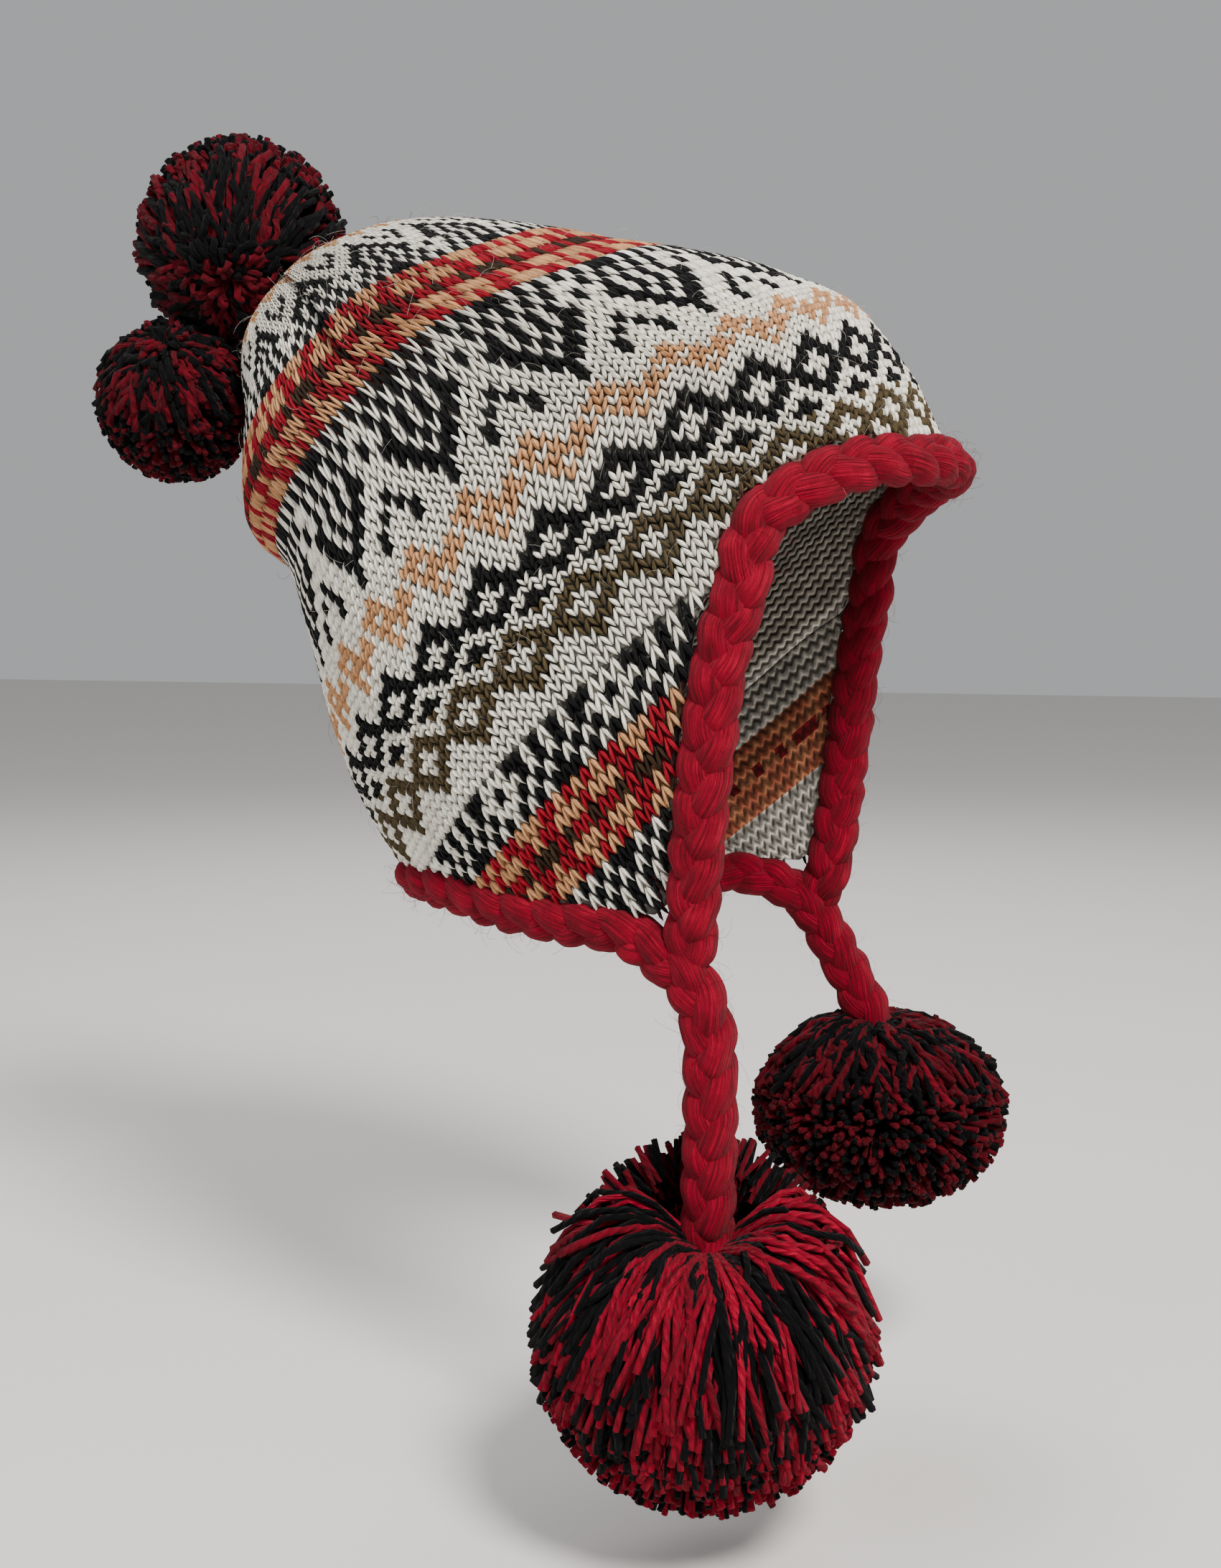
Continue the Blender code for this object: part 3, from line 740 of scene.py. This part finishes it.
def build_crown_shell(material):
    column = np.arange(CROWN_STITCHES)
    levels = np.arange(-1.0, ROWS + 1)
    rim = np.zeros(CROWN_STITCHES)
    for k in column:
        around, climbs = crown_spot(k - 0.5, levels)
        rim[k] = np.interp(edge_climb(around[0]), climbs, levels)
    row = rim + (ROWS - rim) * np.linspace(0.0, 1.0, ROWS + 1)[:, None]
    around, climb = crown_spot(np.broadcast_to(column - 0.5, row.shape), row)
    number = np.clip(np.round((row[:-1] + row[1:]) / 2), 0, ROWS).astype(int)
    cells = list(zip(number.ravel().tolist(), np.broadcast_to(column, number.shape).ravel().tolist()))
    keys = [crown_stitch(*cell) for cell in cells]
    run = np.stack([np.broadcast_to(column, row.shape).ravel(), row.ravel()], axis=1)
    return knit_wall("crown_shell", around, climb, keys, [cell[0] for cell in cells], run, material, True)


def build_flap_shell(name, side, material):
    rows, columns = 29, 65
    down = np.linspace(0.0, 0.985, rows)[:, None]
    front, back = flap_edges(down)
    front, back = front - FLAP_TUCK * down, back + FLAP_TUCK
    degrees = front + (back - front) * np.linspace(0.0, 1.0, columns)
    around = side * np.radians(degrees)
    climb = np.broadcast_to(-down * FLAP_DEPTH, around.shape)
    if side > 0:
        around, climb, degrees = around[:, ::-1], climb[:, ::-1], degrees[:, ::-1]
    depth = -climb * 1000.0
    run_column = (degrees - FLAP_PHASE - 0.054 * depth) / (FLAP_STITCH - 0.0074 * depth)
    places = np.array(FLAP_PLACES)
    run_row = np.interp(-climb, -places[:, 1], places[:, 0])
    column = np.round((run_column[:-1, :-1] + run_column[1:, 1:]) / 2).astype(int)
    row = np.floor((run_row[:-1, :-1] + run_row[1:, 1:]) / 2).astype(int)
    keys = [flap_stitch(*cell) for cell in zip(row.ravel().tolist(), column.ravel().tolist())]
    run = np.stack([run_column.ravel(), run_row.ravel()], axis=1)
    return knit_wall(name, around, climb, keys, [CHEVRON_ROW] * len(keys), run, material, False)


# Plaits

PLAIT_STEP = 0.001          # between the points of a line
STRAND_SIDES = 16
STRAND_GRAIN = 0.045        # how uneven the wool of a strand is, share of its half width
STRAND_WIDTH = 0.325        # half width of a strand, share of the plait's width
STRAND_DEPTH = 0.385        # half depth, share of its thickness


def even_path(points, spacing):
    points = np.asarray(points, float)
    run = run_along(points)
    count = max(2, int(round(run[-1] / spacing)))
    target = np.linspace(0.0, run[-1], count + 1)
    return np.stack([np.interp(target, run, points[:, axis]) for axis in range(3)], axis=1)


def relaxed(points, passes):
    points = points.copy()
    for _ in range(passes):
        points[1:-1] = points[1:-1] * 0.5 + (points[:-2] + points[2:]) * 0.25
    return points


def smooth_route(route, spacing):
    """A smooth curve through the chosen points of a cord."""
    points = [np.array(point) for point in route]
    fine = []
    for i in range(len(points) - 1):
        here, there = points[i], points[i + 1]
        before, after = points[max(i - 1, 0)], points[min(i + 2, len(points) - 1)]
        for step in range(8):
            s = step / 8
            fine.append(0.5 * (2 * here + (there - before) * s
                               + (2 * before - 5 * here + 4 * there - after) * s * s
                               + (3 * here - before - 3 * there + after) * s ** 3))
    fine.append(points[-1])
    return even_path(fine, spacing)


def edge_path(degrees, climb, width, sign):
    """Middle line of an edging beside the fabric's edge."""
    around = np.radians(degrees)
    points = fabric_point(around, climb)
    tangents = unit(np.gradient(points, axis=0))
    outward = fabric_normal(around, climb)
    away = unit(np.cross(tangents, outward)) * sign
    outward = square_to(outward, tangents)
    return points + away * (width / 2 + PLAIT_GAP) - outward * KNIT_WALL / 2


def half_edge(start, flap_corner):
    """Degrees and climbs from the middle plane to the flap's tip."""
    share = np.linspace(0.0, 1.0, 40)
    rim = start + (flap_corner - start) * share
    down = flap_corner + (FLAP_TIP - flap_corner) * share[1:]
    return (np.concatenate([rim, down]),
            np.concatenate([edge_climb(np.radians(rim)), -FLAP_DEPTH * share[1:]]))


def front_path():
    degrees, climb = half_edge(0.0, FLAP_FRONT)
    path = edge_path(np.concatenate([degrees[::-1], -degrees[1:]]),
                     np.concatenate([climb[::-1], climb[1:]]), FRONT_PLAIT_WIDTH, 1.0)
    ends = [np.array(route[1:2]) for route in (RIGHT_TIE_ROUTE, LEFT_TIE_ROUTE)]
    return relaxed(even_path(np.concatenate([ends[0], path, ends[1]]), PLAIT_STEP), 40)


def back_path():
    """One line from the right pompom up its tie, round the nape and down the left tie, and the two
    points on it where the ties start."""
    degrees, climb = half_edge(180.0, FLAP_BACK)
    path = edge_path(np.concatenate([degrees[::-1], 360.0 - degrees[1:]]),
                     np.concatenate([climb[::-1], climb[1:]]), BACK_PLAIT_WIDTH, -1.0)
    path = relaxed(even_path(path, PLAIT_STEP), 40)
    right, left = (smooth_route(route, PLAIT_STEP) for route in (RIGHT_TIE_ROUTE, LEFT_TIE_ROUTE))
    for line, early in ((right, True), (left, False)):
        onward = unit(line[3] - line[0])
        away = (path - line[0]) @ onward
        near = np.linalg.norm(path - line[0], axis=1) < BACK_PLAIT_WIDTH * 0.9
        first_half = np.arange(len(path)) < len(path) / 2
        cut = (near | (away > 0.0)) & (first_half == early)
        cut &= np.linalg.norm(path - line[0], axis=1) < 0.03
        path = path[~cut]
    line = relaxed(even_path(np.concatenate([right[::-1], path, left]), PLAIT_STEP), 25)
    starts = [int(np.argmin(np.linalg.norm(line - np.array(route[0]), axis=1)))
              for route in (RIGHT_TIE_ROUTE, LEFT_TIE_ROUTE)]
    return line, starts


def outward_along(line):
    """Outwards: square to the crown's axis on the edging, sideways on a tie."""
    away = unit(line - (line @ CROWN_AXIS)[:, None] * CROWN_AXIS)
    sideways = np.sign(line[:, :1]) * X_AXIS
    hanging = ease((-0.080 - line[:, 2:3]) / 0.025)
    return unit(away * (1.0 - hanging) + sideways * hanging)


def strand_quads(length, low_end, high_end):
    """Faces of a strand; low_end and high_end tell which ends are capped. Its rings of points are
    followed by the middles of its two ends."""
    ring = np.arange(STRAND_SIDES)
    following = (ring + 1) % STRAND_SIDES
    hub = length * STRAND_SIDES
    top = hub - STRAND_SIDES
    quads = [grid_quads(1, length, STRAND_SIDES, closed=True)]
    for capped, one, other, middle in ((low_end, following, ring, hub),
                                       (high_end, ring + top, following + top, hub + 1)):
        if capped:
            quads.append(np.stack([one, other, np.full_like(ring, middle), np.full_like(ring, -1)], axis=1))
    return np.concatenate(quads)


def plait(name, line, outward, width, thickness, pitch, colour, material, taper=0, span=None):
    """Three strands over and under each other along a line of points a millimetre apart. taper is
    how many points at either end round off. span is the stretch of the line to make; the ends at a
    neighbouring stretch stay open and meet it exactly."""
    first, last = span or (0, len(line))
    shaken = np.random.default_rng(len(line))
    run = np.arange(len(line)) * PLAIT_STEP
    tangents = unit(np.gradient(line, axis=0))
    outward = square_to(outward, tangents)
    sideways = np.cross(tangents, outward)
    if taper:
        closing = np.sqrt(np.maximum(0.02, 1.0 - (1.0 - np.arange(taper) / taper) ** 2))
        shares = np.concatenate([closing, np.ones(len(line) - 2 * taper), closing[::-1]])
        width, thickness = width * shares, thickness * shares
    width, thickness = (np.broadcast_to(size, len(line)) for size in (width, thickness))
    ring = np.arange(STRAND_SIDES)
    angle = 2 * math.pi * ring / STRAND_SIDES
    quads = strand_quads(last - first, first == 0, last == len(line))
    strands = []
    for strand in range(3):
        phase = 2 * math.pi * (run / (3 * pitch) + strand / 3)
        reach = width * (0.5 - STRAND_WIDTH)
        lift = thickness * (0.5 - STRAND_DEPTH)
        centre = line + sideways * (reach * np.sin(phase))[:, None] \
            + outward * (lift * np.sin(2 * phase))[:, None]
        heading = unit(np.gradient(centre, axis=0))
        over = square_to(outward, heading)
        beside = np.cross(heading, over)
        grain = relaxed(shaken.normal(0.0, 1.0, (len(line), STRAND_SIDES)), 3)
        swell = 1.0 + STRAND_GRAIN * grain + 0.03 * np.sin(run * 900.0 + strand * 2.0)[:, None]
        a = (width * STRAND_WIDTH)[:, None] * np.cos(angle) * swell
        b = (thickness * STRAND_DEPTH)[:, None] * np.sin(angle) * swell
        made = centre[:, None] + beside[:, None] * a[..., None] + over[:, None] * b[..., None]
        points = np.concatenate([made[first:last].reshape(-1, 3), centre[[first, last - 1]]])
        uneven = 1.0 + 0.10 * grain + shaken.normal(0.0, 0.03, grain.shape)
        shade = np.maximum(colour * uneven[first:last, :, None], 0.0).reshape(-1, 3)
        colours = np.concatenate([shade, [colour * 0.6] * 2])
        u = np.broadcast_to((run[first:last] * PLAIT_UV_PER_METRE)[:, None], (last - first, STRAND_SIDES))
        v = np.broadcast_to(1.0 - 2.0 * np.abs(ring / STRAND_SIDES - 0.5), u.shape)
        uvs = np.concatenate([np.stack([u, v], axis=-1).reshape(-1, 2), np.zeros((2, 2))])
        strands.append((points - SEAT, quads, colours, uvs))
    return build_mesh(name, *joined(strands), material)


# Pompoms

# yarn is a strand's thickness; strands and ends are how many there are; the strands lie from low to
# high, degrees from the axis, and drape is how far, in degrees, one follows the surface; rise is how
# much taller the egg's upper half is.
PomLook = namedtuple("PomLook", "yarn strands ends low high drape red red_share rise")
POMPOM_LOOKS = {
    "right_pompom": PomLook(0.0023, 2700, 2900, 20.0, 98.0, 48.0, POMPOM_RED, 0.52, 0.46),
    "left_pompom": PomLook(0.0025, 600, 2000, 24.0, 74.0, 34.0, SHADED_POMPOM_RED, 0.5, 0.0),
    "upper_pompom": PomLook(0.0026, 520, 1500, 12.0, 84.0, 45.0, SHADED_POMPOM_RED, 0.45, 0.0),
    "lower_pompom": PomLook(0.0025, 360, 1100, 12.0, 84.0, 45.0, SHADED_POMPOM_RED, 0.45, 0.0),
}
RIGHT_KNOT = (-0.0730, -0.0458, -0.1860)    # from the crown's axis at the rim
LEFT_KNOT = (0.0730, -0.0572, -0.1515)
STRAND_POINTS = 7
STRAND_WAVE = 0.0020
END_LENGTH = 0.013
YARN_SIDES = 5
CLUMP = 13.0                # more makes smaller clumps of one colour
SHADE_CORE = 0.68                 # size of the dark middle, painted shade between the strands, share of the pompom's
TIE_BESIDE = 0.0095         # the room kept free for a tie, from its knot: beside, behind and above
TIE_BEHIND = 0.0085
TIE_ABOVE = 0.006


def sphere_points(count, low, high):
    """Even directions on the sphere between two polar angles, degrees, a little shaken."""
    i = np.arange(count) + 0.5
    top, bottom = math.cos(math.radians(low)), math.cos(math.radians(high))
    z = top + (bottom - top) * i / count
    turn = i * math.pi * (3.0 - math.sqrt(5.0))
    polar = np.arccos(np.clip(z, -1, 1)) + random.normal(0.0, 0.05, count)
    turn = turn + random.normal(0.0, 0.05, count)
    return polar, turn


def aimed(polar, turn, axis):
    """Unit vectors at a polar angle from the axis."""
    first = unit(np.cross(axis, X_AXIS))
    second = np.cross(axis, first)
    return (np.cos(polar)[..., None] * axis + np.sin(polar)[..., None]
            * (np.cos(turn)[..., None] * first + np.sin(turn)[..., None] * second))


def strand_colours(directions, red, red_share, clump):
    """Red or black for each strand, in loose clumps."""
    waves = np.zeros(len(directions))
    for _ in range(6):
        normal = unit(random.normal(size=3))
        waves += np.sin(directions @ normal * clump + random.random() * 6.28)
    waves = waves / 2.5 + random.normal(0.0, 1.0, len(directions))
    level = np.quantile(waves, red_share)
    base = np.where((waves < level)[:, None], linear(red), linear(POMPOM_BLACK))
    return base * np.clip(1.0 + random.normal(0.0, 0.18, (len(directions), 1)), 0.4, 1.6)


def on_egg(directions, half, rise):
    """Places on an egg round the origin; rise is how much taller its upper half is."""
    taller = 1.0 + rise * ease(directions[..., 2:] * 2.2)
    level = np.ones_like(taller)
    return directions * half * np.concatenate([level, level, taller], axis=-1)


def clear_of_tie(lines, knot):
    """Which strands leave the tie free, and don't stand before it."""
    rel = lines - knot
    side = np.abs(rel @ unit(np.array(CAMERA_RIGHT)))
    front = rel @ unit(np.array(CAMERA_BACK) * (1.0, 1.0, 0.0))
    return ~((side < TIE_BESIDE) & (front > -TIE_BEHIND) & (rel[..., 2] > TIE_ABOVE)).any(axis=1)


def loose_yarns(look, lines, radii, colours, knot):
    """Tubes along lines, each turned round its own by chance. A tie that hangs before its pompom is
    left free."""
    count = len(lines)
    kept = clear_of_tie(lines, knot) if look.rise else np.ones(count, dtype=bool)
    hint = unit(random.normal(size=(count, 1, 3)))
    phase = random.random((count, 1))
    return tubes(lines[kept], radii[kept], YARN_SIDES, hint[kept], colours[kept], start_phase=phase[kept])


def pompom_strands(look, centre, half, knot, axis):
    """Strands that leave the knot and lie over the egg."""
    count = look.strands
    polar, turn = sphere_points(count, look.low, look.high)
    swirl = turn + random.normal(0.0, 0.30, count)
    lying = np.radians(look.drape) * random.uniform(0.7, 1.2, count) * np.clip(polar - 0.35, 0.1, 1.0)
    finish = on_egg(aimed(polar, turn, axis), half, look.rise) \
        * random.uniform(0.90, 1.01, (count, 1)) + centre
    over = on_egg(aimed(np.maximum(polar - lying, 0.05), swirl, axis), half, look.rise) \
        * random.uniform(0.95, 1.05, (count, 1)) + centre
    leave = knot + aimed(np.clip(polar * 0.62, 0.0, 1.25), swirl, axis) * half.mean() \
        * random.uniform(0.25, 0.5, (count, 1))
    share = np.linspace(0.04, 1.0, STRAND_POINTS)[None, :, None]
    rest = 1.0 - share
    lines = (rest ** 3 * knot + 3 * rest ** 2 * share * leave[:, None]
             + 3 * rest * share ** 2 * over[:, None] + share ** 3 * finish[:, None])
    wave = np.sin(share * random.uniform(6.0, 14.0, (count, 1, 1)) + random.random((count, 1, 1)) * 6.28)
    lines = lines + wave * share * unit(random.normal(size=(count, 1, 3))) * STRAND_WAVE
    colours = strand_colours(unit(finish - centre), look.red, look.red_share, CLUMP)
    radii = look.yarn / 2 * random.uniform(0.85, 1.12, (count, 1)) * np.linspace(0.85, 1.05, STRAND_POINTS)
    return loose_yarns(look, lines, radii, colours, knot)


def pompom_ends(look, centre, half, knot, axis):
    """Blunt cut ends all over the egg, sunk where strands lie over them and painted darker there as their
    shade.
    """
    count = look.ends
    polar, turn = sphere_points(count, max(look.low, 0.55 * look.high), 180.0)
    tips = aimed(polar, turn, axis)
    bare = polar > math.radians(look.high - 12.0)
    depth = np.where(bare, random.uniform(0.93, 1.0, count), random.uniform(0.82, 0.90, count))
    surface = centre + on_egg(tips, half, look.rise) * depth[:, None]
    lean = unit(tips + random.normal(0.0, 0.13, (count, 3)))
    share = np.array([0.0, 1.0])[None, :, None]
    lines = surface[:, None] - lean[:, None] * (1.0 - share) * END_LENGTH
    radii = look.yarn / 2 * random.uniform(0.75, 1.05, (count, 1)) * np.array([0.9, 1.0])
    colours = strand_colours(tips, look.red, look.red_share + 0.12, CLUMP * 5.0)
    # painted shade: the sunk ends under the strands at half brightness
    return loose_yarns(look, lines, radii, colours * np.where(bare, 0.95, 0.5)[:, None], knot)


def pompom_core(look, centre, half, axis):
    """A dark middle, painted shade that shows between the strands, sunk where they leave the knot."""
    rows, columns = 14, 24
    polar = np.linspace(0.02, math.pi - 0.02, rows)[:, None]
    turn = np.linspace(0.0, 2 * math.pi, columns, endpoint=False)
    sunk = 1.0 - 0.62 * ease(1.5 - polar / math.radians(look.low))
    directions = aimed(*np.broadcast_arrays(polar, turn), axis)
    core = centre - axis * half.mean() * 0.2 + directions * half * SHADE_CORE * sunk[..., None]
    # painted shade: the middle is the black yarn made darker still
    colours = np.repeat(linear(POMPOM_BLACK)[None] * 0.7, rows * columns, axis=0)
    quads = grid_quads(1, rows, columns, closed=True)[:, ::-1]
    return core.reshape(-1, 3), quads, colours, np.zeros((rows * columns, 2))


def build_pompom(node, centre, half, knot, axis, material):
    look = POMPOM_LOOKS[node]
    axis = unit(axis)
    parts = [pompom_strands(look, centre, half, knot, axis), pompom_ends(look, centre, half, knot, axis),
             pompom_core(look, centre, half, axis)]
    return build_mesh(node + "_yarn", *joined(parts), material)


# Loose hairs

HAIR_POINTS = 6
HAIR_RADIUS = 0.00006
CROWN_HAIRS = 800
CROWN_HAIR = 0.010          # the longest
PLAIT_HAIR = 0.011
PALE_HAIR = (225, 220, 208)
DARK_HAIR = (60, 56, 54)


def build_fuzz(name, roots, normals, colours, longest, material):
    """Loose hairs that stand off the wool in thin bows."""
    count = len(roots)
    aside = unit(np.cross(normals, unit(random.normal(size=(count, 3)))))
    length = random.uniform(0.4, 1.0, (count, 1)) * longest
    rise = random.uniform(0.08, 0.45, (count, 1)) * length
    tip = roots + aside * length + normals * rise * random.uniform(0.2, 1.6, (count, 1))
    middle = roots + aside * length * 0.45 + normals * rise * 1.5 \
        + np.cross(normals, aside) * length * random.normal(0.0, 0.3, (count, 1))
    share = np.linspace(0.0, 1.0, HAIR_POINTS)[None, :, None]
    lines = (1 - share) ** 2 * roots[:, None] + 2 * share * (1 - share) * middle[:, None] \
        + share ** 2 * tip[:, None]
    radii = np.full((count, HAIR_POINTS), HAIR_RADIUS) * np.linspace(1.0, 0.6, HAIR_POINTS)
    made = tubes(lines, radii, 3, normals[:, None], colours, capped=False)
    return build_mesh(name, *made, material)


def plait_fuzz(name, line, span, width, count, colour, material):
    """Hairs round a stretch of a plait."""
    spot = random.integers(span[0], span[1], count)
    away = outward_along(line)[spot]
    heading = unit(np.gradient(line, axis=0))[spot]
    turn = random.uniform(-2.4, 2.4, (count, 1))
    away = unit(away * np.cos(turn) + np.cross(heading, away) * np.sin(turn))
    shades = np.repeat(colour[None] * 1.5, count, axis=0) * random.uniform(0.8, 1.4, (count, 1))
    return build_fuzz(name, line[spot] - SEAT + away * width * 0.40, away, shades, PLAIT_HAIR, material)


def box_middle(node):
    low, high = (np.array(corner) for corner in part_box(node))
    return (low + high) / 2, (high - low) / 2


# The camera, light and floor

CAMERA_PLACE = np.array((-0.5753, -0.2368, 0.0061))     # from the crown's axis at the rim
CAMERA_BACK = (-0.9101, -0.4052, 0.0872)
CAMERA_RIGHT = (0.4067, -0.9135, 0.0)
CAMERA_LENS = 27.58
SENSOR_HEIGHT = 24.0
FLOOR_HEIGHT = -0.405


def build_camera():
    data = bpy.data.cameras.new("camera")
    data.sensor_fit = "VERTICAL"
    data.sensor_height = SENSOR_HEIGHT
    data.sensor_width = SENSOR_HEIGHT
    data.lens = CAMERA_LENS
    data.clip_start = 0.01
    thing = bpy.data.objects.new("camera", data)
    back, right = Vector(CAMERA_BACK).normalized(), Vector(CAMERA_RIGHT).normalized()
    up = back.cross(right).normalized()
    turn = Matrix((right, up, back)).transposed()
    thing.matrix_world = Matrix.Translation(Vector(CAMERA_PLACE - SEAT)) @ turn.to_4x4()
    bpy.context.scene.collection.objects.link(thing)
    bpy.context.scene.camera = thing


def build_light(name, place, target, size, power, colour=(1.0, 1.0, 1.0)):
    data = bpy.data.lights.new(name, "AREA")
    data.shape = "DISK"
    data.size = size
    data.energy = power
    data.color = colour
    thing = bpy.data.objects.new(name, data)
    thing.location = place
    thing.rotation_euler = (Vector(target) - Vector(place)).to_track_quat("-Z", "Y").to_euler()
    bpy.context.scene.collection.objects.link(thing)


def build_stage():
    bpy.ops.mesh.primitive_plane_add(size=14.0, location=(0.0, 0.0, FLOOR_HEIGHT))
    floor = bpy.context.object
    floor.name = "floor"
    material = bpy.data.materials.new("pale_floor")
    material.use_nodes = True
    shader = material.node_tree.nodes["Principled BSDF"]
    shader.inputs["Base Color"].default_value = (0.74, 0.72, 0.69, 1.0)
    shader.inputs["Roughness"].default_value = 0.8
    floor.data.materials.append(material)
    world = bpy.data.worlds.new("studio")
    world.use_nodes = True
    background = world.node_tree.nodes["Background"]
    background.inputs["Color"].default_value = (0.92, 0.93, 0.95, 1.0)
    background.inputs["Strength"].default_value = 0.45
    bpy.context.scene.world = world
    centre = (0.0, 0.03, -0.15)
    build_light("key", (-1.0, -1.1, 1.3), centre, 0.6, 76.0, (1.0, 0.96, 0.90))
    build_light("fill", (-1.2, 0.9, 0.5), centre, 1.2, 8.5)
    build_light("rim", (1.2, 0.6, 1.1), centre, 1.0, 14.0)


def dress(node, pieces):
    """Hide a node's part, once for each of the pieces."""
    for piece in pieces:
        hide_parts(node)


def dress_knit():
    knit = yarn_material("knit_wool", lines=4.0, twist=0.5, streaks=(2.0, 5.0), contrast=0.16)
    body = purl_material("knit_body")
    crown = [build_crown_shell(body)] + build_crown_knit(knit)
    roots, normals = crown_place(random.uniform(0.0, CROWN_STITCHES, CROWN_HAIRS),
                                 random.uniform(2.0, ROWS - 2.0, CROWN_HAIRS))
    shades = np.where(random.random((CROWN_HAIRS, 1)) < 0.88, linear(PALE_HAIR), linear(DARK_HAIR))
    crown.append(build_fuzz("crown_fuzz", roots, normals, shades, CROWN_HAIR, knit))
    dress("crown", crown)
    for name, side in (("right_flap", 1.0), ("left_flap", -1.0)):
        dress(name, [build_flap_shell(name + "_shell", side, body),
                                   build_flap_knit(name + "_knit", side, knit)])


def dress_plaits(wool):
    """Both edgings and the ties; gives each tie's plait and hairs."""
    red = linear(PLAIT_RED)
    line = front_path()
    front = plait("front_plait_yarn", line, outward_along(line), FRONT_LOOK, FRONT_THICKNESS,
                  FRONT_PLAIT_PITCH, red, wool, taper=14)
    fuzz = plait_fuzz("front_plait_fuzz", line, (12, len(line) - 12), FRONT_PLAIT_WIDTH, 420, red, wool)
    dress("front_plait", [front, fuzz])

    line, (from_right, from_left) = back_path()
    outward = outward_along(line)
    run = np.arange(len(line))
    grown = np.maximum(ease((from_right + 25 - run) / 40.0), ease((run - from_left + 25) / 40.0))
    width = BACK_LOOK + (TIE_LOOK - BACK_LOOK) * grown
    thickness = BACK_THICKNESS + (TIE_LOOK * 0.92 - BACK_THICKNESS) * grown
    made = {}
    for node, first, last, look, count in (("right_tie", 0, from_right + 1, TIE_LOOK, 150),
                                           ("back_plait", from_right, from_left + 1, BACK_LOOK, 240),
                                           ("left_tie", from_left, len(line), TIE_LOOK, 90)):
        made[node] = (plait(node + "_yarn", line, outward, width, thickness, TIE_PITCH, red, wool,
                            span=(first, last)),
                      plait_fuzz(node + "_fuzz", line, (first + 3, last - 3), look, count, red, wool))
        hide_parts(node)
    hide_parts("back_plait")
    return made


def dress_pompoms(wool):
    to_camera = unit(np.array(CAMERA_BACK))
    pompoms = {}
    for side, knot, axis in (("right", RIGHT_KNOT, Z_AXIS * 0.86 + to_camera * 0.5),
                             ("left", LEFT_KNOT, Z_AXIS)):
        node = side + "_pompom"
        pompoms[side] = build_pompom(node, *box_middle(node), np.array(knot) - SEAT, axis, wool)
        dress(node, [pompoms[side]])
    for node, lift, fluff in (("upper_pompom", -0.75, 1.06), ("lower_pompom", 0.9, 1.11)):
        centre, half = box_middle(node)
        half = half * fluff
        axis = unit(to_camera + Z_AXIS * lift)
        knot = centre + axis * half * 0.55
        dress(node, [build_pompom(node, centre, half, knot, axis, wool)])
    return pompoms


def main():
    build_camera()
    build_stage()
    plait_wool = yarn_material("plait_wool", lines=9.0, twist=0.05, streaks=(0.45, 26.0), relief=0.0010,
                               sheen=0.03, contrast=0.6, plied=0.12, mottle=0.22)
    pompom_wool = yarn_material("pompom_wool", lines=2.0, twist=1.0, streaks=(1.2, 5.0), relief=0.0006,
                                sheen=0.02, contrast=0.34)
    dress_knit()
    plaits = dress_plaits(plait_wool)
    pompoms = dress_pompoms(pompom_wool)


main()
